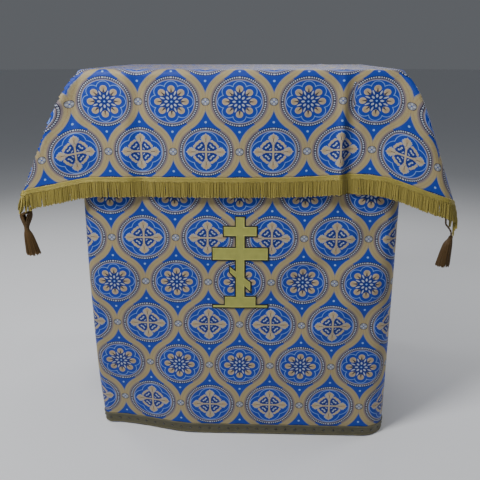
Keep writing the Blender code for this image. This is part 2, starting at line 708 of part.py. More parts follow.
def make_fringe(name, columns):
    """Heading and locks along one side's hem, cut from one strip."""
    path = hem_path(columns)
    shape = bmesh.new()
    lines = []
    for distance, in_lock in fringe_edges(path):
        point, hang = on_path(path, distance)
        fall = hang.lerp(Vector((0, 0, -1)), 1 - FRINGE_LEAN).normalized()
        top = shape.verts.new(point + Vector((0, 0, -FRINGE_GAP)))
        bottom = shape.verts.new(point + fall * HEADING_HEIGHT)
        tip = point + fall * (HEADING_HEIGHT + LOCK_LENGTH)
        lines.append([top, bottom, tip, in_lock])
    for line, following in zip(lines, lines[1:]):
        shape.faces.new((line[0], line[1], following[1], following[0]))
    for line, following in zip(lines, lines[1:]):
        if not line[3]:
            continue
        for end in (line, following):
            if not isinstance(end[2], bmesh.types.BMVert):
                end[2] = shape.verts.new(end[2])
        shape.faces.new((line[1], line[2], following[2], following[1]))
    return thicken(finish_object("fringe_" + name, shape, "fringe"), FRINGE_THICKNESS)


def make_tassel(name, corner):
    """Cord, yarn, tied waist and a skirt of locks, hung just behind a corner of the cloth."""
    body, tips = TASSELS[name][:-1], TASSELS[name][-1]
    inward_x = -math.copysign(1.0, corner.x)
    behind = Vector((0, -math.copysign(TASSEL_BEHIND, corner.y), 0))
    sides = TASSEL_SIDES

    def ring_points(ring, share=1.0, lower=0.0):
        turns = [2 * math.pi * (index + 0.5) / sides for index in range(sides)]
        middle = corner + behind + Vector((inward_x * ring.inward, 0, -ring.drop - lower))
        return [middle + Vector((ring.width * math.cos(a), ring.depth * math.sin(a), 0)) * share for a in turns]

    shape = bmesh.new()
    rings = [[shape.verts.new(point) for point in ring_points(ring)] for ring in body]
    for upper, lower in zip(rings, rings[1:]):
        for index in range(sides):
            following = (index + 1) % sides
            shape.faces.new((upper[index], lower[index], lower[following], upper[following]))
    shape.faces.new(rings[0])
    core = [shape.verts.new(point) for point in ring_points(body[-1], CORE_SHARE, CORE_DROP)]
    shape.faces.new(core[::-1])
    outer_tips, inner_tips = ring_points(tips), ring_points(tips, LOCK_INNER_SHARE)
    for index in range(sides):
        following = (index + 1) % sides
        root = (rings[-1][index], core[index], core[following], rings[-1][following])
        if index % 2:
            shape.faces.new(root)
            continue
        tip_points = (outer_tips[index], inner_tips[index], inner_tips[following], outer_tips[following])
        tip = [shape.verts.new(point) for point in tip_points]
        for corner_index in range(4):
            beside = (corner_index + 1) % 4
            shape.faces.new((root[corner_index], tip[corner_index], tip[beside], root[beside]))
        shape.faces.new(tip)
    bmesh.ops.recalc_face_normals(shape, faces=list(shape.faces))
    return finish_object("tassel_" + name, shape, "tassel", TASSEL_SMOOTH)


def centre_on_origin(things):
    """Moves everything so that the middle of the whole box is over the origin."""
    bpy.context.view_layer.update()
    corners = [thing.matrix_world @ Vector(corner) for thing in things for corner in thing.bound_box]
    middle = Vector(((min(c.x for c in corners) + max(c.x for c in corners)) / 2,
                     (min(c.y for c in corners) + max(c.y for c in corners)) / 2, 0))
    for thing in things:
        thing.location -= middle


def main():
    columns, by_side = over_columns()
    things = make_table() + make_covers(columns) + [make_braid()] + make_cross()
    for side in over_sides():
        things.append(make_fringe(side.name, by_side[side.name]))
        things.append(make_tassel(side.end, by_side[side.name][-1][-1]))
    centre_on_origin(things)


for leftover in list(bpy.data.objects):
    bpy.data.objects.remove(leftover)
MATERIALS = {finish: make_material(finish) for finish in FINISHES}
main()
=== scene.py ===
"""The looks of an altar cloth set on a plain altar table.

Two brocade cloths, a galloon, a sewn cross, fringes and tassels are made around the fixed frame. Every piece
is modelled with the table's middle over the origin and then moved to where the frame has the table.
"""

import math
import random
from collections import namedtuple

import bpy
import numpy as np
from bpy.props import FloatProperty, FloatVectorProperty, IntProperty, PointerProperty
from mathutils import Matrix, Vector, noise


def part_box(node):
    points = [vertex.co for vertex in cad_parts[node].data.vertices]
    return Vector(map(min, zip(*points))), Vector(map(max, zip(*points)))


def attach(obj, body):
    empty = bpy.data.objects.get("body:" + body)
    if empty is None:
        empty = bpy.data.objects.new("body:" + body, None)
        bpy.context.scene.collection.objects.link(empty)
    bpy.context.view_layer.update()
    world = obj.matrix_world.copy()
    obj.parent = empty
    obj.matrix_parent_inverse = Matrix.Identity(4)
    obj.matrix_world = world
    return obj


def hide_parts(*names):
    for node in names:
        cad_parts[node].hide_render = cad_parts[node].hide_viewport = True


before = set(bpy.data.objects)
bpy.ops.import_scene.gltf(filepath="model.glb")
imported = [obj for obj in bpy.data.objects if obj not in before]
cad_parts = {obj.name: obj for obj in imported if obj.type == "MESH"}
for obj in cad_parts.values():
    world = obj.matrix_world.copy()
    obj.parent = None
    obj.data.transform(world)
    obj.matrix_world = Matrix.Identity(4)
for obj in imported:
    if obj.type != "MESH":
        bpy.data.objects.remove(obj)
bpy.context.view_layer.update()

bl_info = {
    "name": "Altar Cloth Set",
    "version": (1, 0),
    "blender": (4, 5, 0),
    "location": "3D View > Sidebar > Altar Cloth",
    "description": "Builds a draped altar cloth set with its fringe, tassels, galloon and cross",
    "category": "Object",
}

# The table and the levels of the two cloths, from the frame
TABLE_LOW, TABLE_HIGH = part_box("table_top")
TABLE_MIDDLE = Vector(((TABLE_LOW.x + TABLE_HIGH.x) / 2, (TABLE_LOW.y + TABLE_HIGH.y) / 2, 0))
TABLE_HALF = ((TABLE_HIGH.x - TABLE_LOW.x) / 2, (TABLE_HIGH.y - TABLE_LOW.y) / 2)
UNDER_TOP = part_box("under_cover")[1].z
OVER_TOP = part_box("over_cover")[1].z
RIM_STEP = 0.004
UNDER_HALF = (TABLE_HALF[0] + RIM_STEP, TABLE_HALF[1] + RIM_STEP)
OVER_HALF = (UNDER_HALF[0] + RIM_STEP, UNDER_HALF[1] + RIM_STEP)

# Under-cover: its walls stand out from its rim by these amounts at each height, in metres, and its corners
# are rounded, the front left one more tightly than the others
UNDER_ROLL = 0.012
UNDER_RIM_CORNER = 0.013
Level = namedtuple("Level", "height left right front back corner front_left")
UNDER_LEVELS = (
    Level(UNDER_TOP - UNDER_ROLL, 0.000, 0.000, 0.000, 0.000, UNDER_RIM_CORNER, UNDER_RIM_CORNER),
    Level(0.905, 0.004, 0.005, 0.003, 0.003, 0.022, 0.020),
    Level(0.800, 0.007, 0.010, 0.004, 0.006, 0.030, 0.024),
    Level(0.690, 0.009, 0.014, 0.005, 0.009, 0.038, 0.026),
    Level(0.580, 0.010, 0.015, 0.007, 0.011, 0.044, 0.027),
    Level(0.470, 0.010, 0.015, 0.009, 0.012, 0.048, 0.027),
    Level(0.360, 0.010, 0.015, 0.010, 0.013, 0.052, 0.027),
    Level(0.250, 0.010, 0.015, 0.012, 0.014, 0.056, 0.027),
    Level(0.130, 0.009, 0.015, 0.014, 0.015, 0.060, 0.027),
    Level(0.032, 0.005, 0.014, 0.015, 0.016, 0.064, 0.027),
    Level(0.001, 0.001, 0.012, 0.016, 0.016, 0.066, 0.027),
)

# The under-cover's front left corner stands back from the others: how far, up to the top of the hem, the
# height where that ends, how its depth falls off on the way, and the stretches of the front and of the left
# wall that turn back
CORNER_BACK = 0.045
CORNER_BACK_HEM = 0.032
CORNER_BACK_HEIGHT = 0.50
CORNER_BACK_FALL = 1.5
CORNER_BACK_FRONT = (-0.12, -0.36)
CORNER_BACK_SIDE = (0.0, -0.27)

# Soft folds of the under-cover: from (along, height) to (along, height) on one wall, push and half width
Crease = namedtuple("Crease", "wall start_along start_height end_along end_height push reach")
CREASE_FADE = 0.12
UNDER_CREASES = (
    Crease("front", 0.400, 0.615, 0.050, 0.385, -0.006, 0.050),
    Crease("front", 0.410, 0.500, 0.150, 0.260, 0.007, 0.060),
    Crease("front", 0.300, 0.720, 0.285, 0.560, 0.004, 0.030),
    Crease("front", -0.330, 0.620, -0.300, 0.000, 0.004, 0.060),
    Crease("left", -0.150, 0.800, -0.190, 0.000, 0.007, 0.080),
    Crease("left", 0.140, 0.700, 0.170, 0.000, 0.006, 0.080),
    Crease("right", 0.120, 0.800, 0.160, 0.000, 0.006, 0.080),
    Crease("right", -0.160, 0.600, -0.130, 0.000, 0.006, 0.070),
    Crease("back", 0.180, 0.800, 0.220, 0.000, 0.007, 0.090),
    Crease("back", -0.170, 0.700, -0.210, 0.000, 0.006, 0.090),
)

# Over-cover: its flat size and how far it reaches past each edge of the top, flat
CLOTH_SIZE = 1.165
LEFT_REACH = 0.169
RIGHT_REACH = CLOTH_SIZE - 2 * OVER_HALF[0] - LEFT_REACH
END_REACH = CLOTH_SIZE / 2 - OVER_HALF[1]
OVER_ROLL = 0.014
OVER_CORNER = 0.018
BIAS_STRETCH = 0.05
ROLL_EXTRA = math.pi / 2 - 1

# Hem of the over-cover, a row for each fold: the place on the flat hem from the middle of its side, the
# place below which that point hangs, how far it stands out from the rim, how far the cloth above it bellies
# out, and how much shorter (or, below zero, longer) it hangs
Fold = namedtuple("Fold", "at foot out belly pull")
FRONT_FOLDS = (
    Fold(-0.535, -0.518, 0.032, 0.016, -0.004),
    Fold(-0.495, -0.480, 0.033, 0.008, -0.004),
    Fold(-0.450, -0.436, 0.030, 0.003, -0.002),
    Fold(-0.400, -0.387, 0.025, 0.003, 0.000),
    Fold(-0.360, -0.348, 0.022, 0.002, 0.000),
    Fold(-0.325, -0.3145, 0.020, 0.000, 0.000),
    Fold(-0.295, -0.286, 0.017, 0.000, 0.000),
    Fold(-0.272, -0.2645, 0.011, 0.000, 0.000),
    Fold(-0.250, -0.2445, 0.008, 0.000, 0.000),
    Fold(-0.225, -0.221, 0.012, 0.000, 0.000),
    Fold(-0.120, -0.119, 0.014, 0.002, 0.000),
    Fold(0.000, 0.000, 0.014, 0.003, 0.000),
    Fold(0.120, 0.120, 0.014, 0.002, 0.002),
    Fold(0.200, 0.199, 0.015, 0.000, 0.006),
    Fold(0.235, 0.2335, 0.020, 0.000, 0.009),
    Fold(0.252, 0.249, 0.026, 0.000, 0.010),
    Fold(0.270, 0.262, 0.013, 0.000, 0.011),
    Fold(0.290, 0.2795, 0.009, 0.000, 0.011),
    Fold(0.315, 0.303, 0.013, 0.000, 0.011),
    Fold(0.345, 0.332, 0.020, 0.000, 0.009),
    Fold(0.400, 0.384, 0.032, 0.002, 0.002),
    Fold(0.450, 0.430, 0.044, 0.004, -0.006),
    Fold(0.500, 0.474, 0.054, 0.007, -0.012),
    Fold(0.540, 0.508, 0.055, 0.013, -0.012),
    Fold(0.570, 0.527, 0.041, 0.022, -0.008),
)
BACK_FOLDS = (
    Fold(-0.560, -0.505, 0.046, 0.016, -0.006),
    Fold(-0.500, -0.452, 0.056, 0.008, -0.006),
    Fold(-0.450, -0.409, 0.048, 0.003, -0.003),
    Fold(-0.400, -0.368, 0.035, 0.002, 0.000),
    Fold(-0.340, -0.317, 0.020, 0.000, 0.000),
    Fold(-0.290, -0.272, 0.011, 0.000, 0.000),
    Fold(-0.240, -0.228, 0.018, 0.000, 0.000),
    Fold(-0.180, -0.172, 0.016, 0.000, 0.000),
    Fold(0.000, 0.000, 0.014, 0.002, 0.000),
    Fold(0.160, 0.158, 0.015, 0.000, 0.000),
    Fold(0.225, 0.220, 0.021, 0.000, 0.000),
    Fold(0.280, 0.273, 0.010, 0.000, 0.000),
    Fold(0.330, 0.320, 0.016, 0.000, 0.000),
    Fold(0.400, 0.385, 0.030, 0.002, 0.000),
    Fold(0.450, 0.430, 0.040, 0.003, -0.003),
    Fold(0.500, 0.477, 0.045, 0.008, -0.004),
    Fold(0.540, 0.514, 0.040, 0.016, -0.004),
)
RIGHT_FOLDS = (
    Fold(-0.540, -0.312, 0.128, 0.024, -0.004),
    Fold(-0.500, -0.276, 0.115, 0.018, -0.002),
    Fold(-0.460, -0.256, 0.084, 0.011, 0.000),
    Fold(-0.420, -0.266, 0.050, 0.004, 0.000),
    Fold(-0.380, -0.286, 0.026, 0.002, 0.000),
    Fold(-0.345, -0.280, 0.017, 0.002, 0.000),
    Fold(-0.315, -0.260, 0.020, 0.002, 0.000),
    Fold(-0.270, -0.222, 0.034, 0.002, 0.000),
    Fold(-0.225, -0.184, 0.040, 0.002, 0.000),
    Fold(-0.175, -0.146, 0.026, 0.002, 0.000),
    Fold(-0.100, -0.086, 0.018, 0.002, 0.000),
    Fold(0.000, 0.000, 0.018, 0.002, 0.000),
    Fold(0.090, 0.080, 0.018, 0.002, 0.000),
    Fold(0.160, 0.140, 0.026, 0.002, 0.000),
    Fold(0.210, 0.178, 0.038, 0.002, 0.000),
    Fold(0.260, 0.220, 0.032, 0.002, 0.000),
    Fold(0.315, 0.262, 0.020, 0.002, 0.000),
    Fold(0.350, 0.284, 0.017, 0.002, 0.000),
    Fold(0.385, 0.288, 0.028, 0.002, 0.000),
    Fold(0.425, 0.268, 0.054, 0.004, 0.000),
    Fold(0.465, 0.258, 0.086, 0.008, 0.000),
    Fold(0.505, 0.276, 0.112, 0.012, -0.002),
    Fold(0.545, 0.308, 0.124, 0.016, -0.004),
)
LEFT_SIDE_SLACK = 0.92

# Where each corner of the over-cover hangs: how far outside the table's two rims, how far its ridge bellies
# out, and how much shorter (or, below zero, longer) it hangs
Ear = namedtuple("Ear", "side_out end_out belly pull")
EARS = {
    "front_right": Ear(0.1305, 0.024, 0.028, -0.004),
    "back_right": Ear(0.126, 0.026, 0.018, -0.004),
    "back_left": Ear(0.138, 0.028, 0.026, -0.004),
    "front_left": Ear(0.1475, 0.028, 0.028, -0.004),
}

# Fine creases of the over-cover on the flat cloth: from (x, y) to (x, y), push and half width
Press = namedtuple("Press", "start_x start_y end_x end_y push reach")
OVER_PRESSES = (
    Press(0.252, -0.60, 0.250, 0.60, 0.0040, 0.015),
    Press(0.282, -0.60, 0.278, -0.20, -0.0045, 0.022),
    Press(-0.250, -0.60, -0.250, 0.60, -0.0028, 0.016),
    Press(-0.284, -0.60, -0.280, -0.22, 0.0030, 0.022),
    Press(0.02, -0.60, 0.01, -0.40, 0.0010, 0.030),
    Press(-0.470, -0.560, -0.370, -0.575, -0.0075, 0.055),
    Press(-0.430, -0.470, -0.400, -0.490, 0.0030, 0.045),
    Press(0.36, -0.36, 0.47, -0.60, 0.0016, 0.022),
    Press(-0.37, -0.34, -0.46, -0.60, 0.0014, 0.020),
)

# Where the brocade's lattice falls on each cloth
OVER_PATTERN_Y = -(OVER_HALF[1] + 0.069)
UNDER_PATTERN_Z = 0.457

# Cross, measured from the middle of its stem and from the floor
Bar = namedtuple("Bar", "half_width left_bottom left_top right_bottom right_top")
CROSS_ACROSS = 0.0015
CROSS_STEM = 0.01425
CROSS_TOP = 0.637
CROSS_BOTTOM = 0.383
CROSS_BARS = (
    Bar(0.0755, CROSS_BOTTOM, 0.3947, CROSS_BOTTOM, 0.3947),
    Bar(0.0440, 0.3947, 0.4192, 0.3947, 0.4192),
    Bar(0.0300, 0.4835, 0.5058, 0.4251, 0.4585),
    Bar(0.0750, 0.5167, 0.5548, 0.5167, 0.5548),
    Bar(0.0455, 0.5813, 0.6117, 0.5813, 0.6117),
)

# Tassels: outline of cord, yarn and skirt, measured down and inward from the cloth's corner
Ring = namedtuple("Ring", "drop width depth inward")
FUNNEL_RINGS = (
    Ring(0.002, 0.003, 0.003, 0.0145),
    Ring(0.051, 0.003, 0.003, 0.0145),
    Ring(0.057, 0.015, 0.009, 0.001),
    Ring(0.064, 0.017, 0.010, 0.000),
    Ring(0.078, 0.012, 0.009, -0.001),
    Ring(0.095, 0.0055, 0.0055, -0.002),
    Ring(0.101, 0.0055, 0.0055, -0.002),
    Ring(0.114, 0.011, 0.010, 0.001),
    Ring(0.167, 0.0195, 0.0155, 0.010),
)
PEAR_RINGS = (
    Ring(0.002, 0.003, 0.003, 0.010),
    Ring(0.049, 0.003, 0.003, 0.010),
    Ring(0.059, 0.003, 0.003, 0.002),
    Ring(0.070, 0.003, 0.003, -0.005),
    Ring(0.081, 0.0035, 0.0035, -0.006),
    Ring(0.090, 0.006, 0.006, -0.004),
    Ring(0.101, 0.011, 0.010, 0.000),
    Ring(0.160, 0.0185, 0.0150, 0.009),
)
Tassel = namedtuple("Tassel", "rings yarn_drop tie_drop parted")
FUNNEL = Tassel(FUNNEL_RINGS, 0.053, 0.098, True)
PEAR = Tassel(PEAR_RINGS, 0.080, 0.084, False)
TASSELS = {"front_right": PEAR, "back_right": FUNNEL, "back_left": PEAR, "front_left": FUNNEL}
TASSEL_BEHIND = 0.010

# Where the fringe's strands hang longer, at the start and at the end of each side: how near the corner and
# how much
BUNCH_REACH = 0.034
BUNCHES = {"front": (0.012, 0.032), "right": (0.030, 0.004), "back": (0.004, 0.010), "left": (0.010, 0.012)}

# Medallions of the brocade, on the flat cloth: distances out from a medallion's middle, and half widths, in
# metres. A disc lies out along the nearest arm or petal and aside from it, an oval out along it
Disc = namedtuple("Disc", "out aside radius")
Oval = namedtuple("Oval", "out half_length half_width")
FIELD = 0.0568
FIELD_LINE = 0.0564
FIGURES_END = 0.0556
INNER_RING = (0.0572, 0.0596)
BEAD_GROUND = (0.0598, 0.0666)
BEAD_ROW = (0.0614, 0.0649)
BEADS = 72
RING_END = 0.0667
GREY_END = 0.0712
BAND_LINE = 0.0792
BAND_EDGE = (0.0850, 0.0872)
BAND_END = 0.0868
STAR_AT = 0.0540
STAR_RADIUS = 0.0030
KNOT_RADIUS = 0.0098
KNOT_LINE = 0.0102
KNOT_GAP = 0.0060
KNOT_PETAL = Oval(0.0053, 0.0031, 0.0018)
KNOT_MIDDLE = 0.0016
FINE_LINE = 0.0009

PETALS = 8
PETAL_HEAD = Disc(0.0336, 0.0, 0.0089)
PETAL_TIP = Disc(0.0350, 0.0, 0.0055)
PETAL_POINT = 0.0205
PETAL_FOOT = 0.0235
PETAL_SPREAD = 0.64
SLIT = (0.0240, 0.0365)
SLIT_SPREAD = 0.22
INNER_SEED = Oval(0.0130, 0.0043, 0.0026)
OUTER_SEED = Oval(0.0240, 0.0060, 0.0019)
SCALLOP = Disc(0.03685, 0.0, 0.01635)
SCALLOPS_START = 0.0408
ROSETTE_SHADE = 0.0290
ROSETTE_MIDDLE = 0.0025

LEAF_WIDEST = 0.0368
LEAF_HALF_WIDTH = 0.0116
LEAF_CURVE = 84.0
LEAF_TOOTH_PITCH = 0.0044
LEAF_TOOTH = 0.0011
LEAF_POINT = (0.0440, 0.0515)
LEAF_POINT_SPREAD = 0.36
LEAF_EDGE = 0.0012
LEAF_EDGE_RUN = (0.0245, 0.0495)
LEAF_LOBES = (Disc(0.0286, 0.0150, 0.0037), Disc(0.0224, 0.0224, 0.0042), Disc(0.0258, 0.0190, 0.0032))
LEAF_BUDS = (Disc(0.0182, 0.0112, 0.0024), Disc(0.0138, 0.0138, 0.0022), Disc(0.0085, 0.0062, 0.0015))
LEAF_CURL = Disc(0.0200, 0.0125, 0.0095)
LEAF_CURL_WIDTH = 0.0010
LEAF_VEIN = Oval(0.0395, 0.0052, 0.0040)
LEAF_SLIT = (0.0265, 0.0365)
LEAF_SLIT_WIDTH = 0.0008
STEM_WIDTH = 0.0024
STEM_END = 0.0300
QUATREFOIL = Disc(0.0243, 0.0, 0.0302)
QUATREFOIL_START = 0.0412
CROSS_SHADE = 0.0270

# Threads of the brocade, down and across the cloth, in metres
WEFT_PITCH = 0.0009
WARP_PITCH = 0.0012

# Smooth unevenness of the two cloths: how deep, how wide and which of its kind
Wave = namedtuple("Wave", "depth size seed")
OVER_WAVES = (Wave(0.0007, 0.11, 1), Wave(0.0003, 0.035, 2))
UNDER_WAVES = (Wave(0.0010, 0.16, 3), Wave(0.0004, 0.05, 4))
WAVES_TOP = 0.06
WAVES_TOP_FADE = 0.2
WAVES_HEM = 0.03
WAVES_HEM_FADE = 0.05
UNDER_CELL_SHARE = 1.42
UNDER_CORNER_STEPS = 12
UNDER_ROLL_STEPS = 4

# Below the top's edge the over-cover takes its whole unevenness, and on top a share of it and never inward
TOP_FADE = 0.03
TOP_UNEVEN = 0.6
TOP_LIFT = 0.0004

# Distances between the points along the cross's outline and along the fringe's heading
CROSS_CELL = 0.003
HEADING_CELL = 0.005

# Galloon's dots: half length and half height of the oval, and its rings as (share of the size, lift)
BRAID_BOTTOM = 0.0015
DOT_HALF_LENGTH = 0.0035
DOT_HALF_HEIGHT = 0.0030
DOT_RINGS = ((1.0, 0.0013), (0.92, 0.0022), (0.6, 0.0027))
DOT_SIDES = 12

# Fringe: how far its heading and its strands turn with the hanging cloth, and the strands' own unevenness
HEADING_TURN = 0.45
STRAND_TURN = 0.35
STRAND_START = 0.0085
STRAND_ROOT = 0.003
STRAND_SPREAD = (-0.0018, 0.0012)
STRAND_SHIFT = 0.16
STRAND_LEAN = 0.022
STRAND_SWAY = 0.0008
STRAND_DEPTH = (0.0002, 0.0016)
STRAND_BOW = 0.0006
LAYER_GAP = 0.0016
STRAND_RADIUS = 0.0022
STRAND_END_RADIUS = 0.0014
STRAND_PLY = 0.007
BUNCH_LOOSE = 3

# Yarns, cord and tie of a tassel
TURN_OF_YARNS = math.pi * (3 - math.sqrt(5))
YARN_STEPS = 17
YARN_SIDES = 5
YARN_RADIUS = 0.0010
YARN_ENDS = (-0.004, 0.002)
YARN_STARTS = (0, 0.003)
YARN_INNER, YARN_OUTER = 0.43, 0.98
OUTLINE_STEPS = 60
YARN_PARTING = 0.03
YARN_PARTING_END = 0.015
YARN_APART = 0.62
TASSEL_CORD_RADIUS = 0.0022
TASSEL_CORD_PLY = 0.009
TASSEL_CORD_STEPS = 24
TASSEL_CORD_TAIL = 0.006
TIE_RADIUS = 0.0007
TIE_TURNS = 4
TIE_PITCH = 0.0010
TIE_LIFT = 0.0008
TIE_TURN_STEPS = 18

# Lights: place, what they point at, size and the setting that holds their power
Lamp = namedtuple("Lamp", "name place target size power")
LAMPS = (
    Lamp("key_light", (-0.95, -1.2, 2.2), (0.0, -0.2, 0.8), 0.7, "key"),
    Lamp("fill_light", (1.4, -2.2, 1.6), (0.0, 0.0, 0.6), 1.4, "fill"),
    Lamp("right_light", (2.1, 0.7, 1.6), (0.0, 0.0, 0.6), 1.2, "side"),
    Lamp("left_light", (-2.1, 1.3, 1.6), (0.0, 0.0, 0.6), 1.2, "side"),
    Lamp("back_light", (0.3, 1.7, 2.4), (0.0, 0.1, 0.9), 1.2, "back"),
)
FLOOR_SIDES = 96
FLOOR_RADIUS = 40.0

# Camera, in the table's own place: it looks from a little above the top's height down on the front
CAMERA_PLACE = (0.054, -1.8575, 1.04)
CAMERA_DOWN = math.radians(16.96)
CAMERA_TURN = math.radians(-1.99)

Side = namedtuple("Side", "name along outward half rim reach folds start end start_reach end_reach")


def colour_setting(name, description, red, green, blue):
    """A colour property, with its default given as it looks on a screen, from 0 to 255."""
    return FloatVectorProperty(name=name, description=description, default=screen_colour(red, green, blue),
                               subtype="COLOR", size=3, min=0.0, max=1.0)


def length_setting(name, description, default):
    """A length property in metres."""
    return FloatProperty(name=name, description=description, default=default, min=0.0, unit="LENGTH",
                         precision=5)


def screen_colour(*values):
    """A screen colour, from 0 to 255, as the linear light that a shader uses."""
    return tuple(linear_light(value / 255) for value in values)


def linear_light(value):
    if value <= 0.04045:
        return value / 12.92
    return ((value + 0.055) / 1.055) ** 2.4


class BrocadeSettings(bpy.types.PropertyGroup):
    """The two cloths and their woven pattern."""
    repeat: length_setting("Repeat", "Width of one repeat of the pattern", 1 / 6)
    row_gap: length_setting("Row gap", "Distance between two rows of medallions", 0.1213)
    squash: FloatProperty(name="Squash", description="Height of a medallion over its width", default=0.905,
                          min=0.1)
    cell: length_setting("Mesh cell", "Size of the cloth mesh's cells", 0.0062)
    thickness: length_setting("Thickness", "Thickness of the cloths", 0.0012)
    ground: colour_setting("Ground", "Blue satin ground", 27, 63, 164)
    shade: colour_setting("Shade", "Deep blue of the outlines", 14, 20, 58)
    band: colour_setting("Band", "Straw-coloured wavy bands", 170, 155, 114)
    band_edge: colour_setting("Band edge", "Mauve-grey weave beside the medallions", 128, 116, 118)
    light: colour_setting("Light line", "Pale blue outlines", 140, 176, 232)
    pale: colour_setting("Pale yarn", "Nearly white yarn of the small figures", 196, 204, 216)
    knot: colour_setting("Knot", "Grey-blue weave where the bands meet", 122, 132, 152)
    figure: colour_setting("Figure", "Straw-coloured figures in the medallions", 186, 170, 140)
    vein: colour_setting("Vein", "Rust-coloured centres of the leaves", 158, 112, 62)


class TrimSettings(bpy.types.PropertyGroup):
    """Galloon, cross, fringe and tassels."""
    braid_height: length_setting("Galloon height", "Height of the galloon at the hem", 0.028)
    dot_pitch: length_setting("Dot pitch", "Distance between the galloon's dots", 0.027)
    strand: length_setting("Strand length", "Length of the fringe's strands", 0.037)
    strand_pitch: length_setting("Strand pitch", "Distance between the strands of one layer", 0.0040)
    yarns: IntProperty(name="Yarns", description="Yarns in each tassel", default=110, min=8)
    gold: colour_setting("Fringe", "Gold of the fringe's strands", 170, 154, 74)
    bright_gold: colour_setting("Heading", "Brighter gold of the heading", 176, 160, 74)
    tassel: colour_setting("Tassel", "Brown of the tassels' yarn", 96, 70, 30)
    galloon: colour_setting("Galloon", "Dull gold of the galloon", 96, 92, 70)
    cross: colour_setting("Cross", "Olive gold of the cross", 182, 182, 92)
    cord: colour_setting("Edging", "Black of the cross's edging", 14, 14, 16)


class StageSettings(bpy.types.PropertyGroup):
    """Table finish, floor, lights and camera."""
    wood: colour_setting("Wood", "Pale wood of the table", 176, 140, 96)
    floor: colour_setting("Floor", "Pale floor", 240, 241, 243)
    sky: colour_setting("Surround", "Pale surround", 205, 210, 218)
    sky_strength: FloatProperty(name="Surround light", description="Strength of the surround", default=0.19)
    key: FloatProperty(name="Key light", description="Power of the light from the upper left", default=45,
                       unit="POWER")
    back: FloatProperty(name="Back light", description="Power of the light from behind", default=18,
                        unit="POWER")
    fill: FloatProperty(name="Fill light", description="Power of the light from the front", default=3,
                        unit="POWER")
    side: FloatProperty(name="Side lights", description="Power of each of the two lights at the sides",
                        default=14, unit="POWER")
    lens: FloatProperty(name="Lens", description="Focal length in millimetres", default=46.26, unit="CAMERA")


# Node arithmetic for the woven patterns


class Number:
    """A value in a material's node tree. Arithmetic on it adds Math nodes."""

    def __init__(self, tree, socket):
        self.tree = tree
        self.socket = socket

    def calc(self, operation, *others, clamp=False):
        node = self.tree.nodes.new("ShaderNodeMath")
        node.operation = operation
        node.use_clamp = clamp
        for slot, value in zip(node.inputs, (self, *others)):
            if isinstance(value, Number):
                self.tree.links.new(value.socket, slot)
            else:
                slot.default_value = value
        return Number(self.tree, node.outputs[0])

    def __add__(self, other):
        return self.calc("ADD", other)

    def __sub__(self, other):
        return self.calc("SUBTRACT", other)

    def __rsub__(self, other):
        return self.calc("MULTIPLY_ADD", -1.0, other)

    def __mul__(self, other):
        return self.calc("MULTIPLY", other)

    def below(self, edge, softness=0.0009):
        """1 where the value is under an edge and 0 where it is over it, with a soft step."""
        return self.calc("MULTIPLY_ADD", -1 / softness, edge / softness + 0.5, clamp=True)

    def near(self, middle, half_width, softness=0.0009):
        """1 where the value lies close to a middle."""
        return (self - middle).calc("ABSOLUTE").below(half_width, softness)

    def between(self, low, high, softness=0.0009):
        return self.near((low + high) / 2, (high - low) / 2, softness)

    def most(self, *others):
        result = self
        for other in others:
            result = result.calc("MAXIMUM", other)
        return result


def length(x, y):
    return (x * x).calc("ADD", y * y).calc("SQRT")


def ellipse(x, y, centre, half_length, half_width):
    """1 inside an ellipse that lies along x."""
    return length((x - centre) * (half_width / half_length), y).below(half_width)


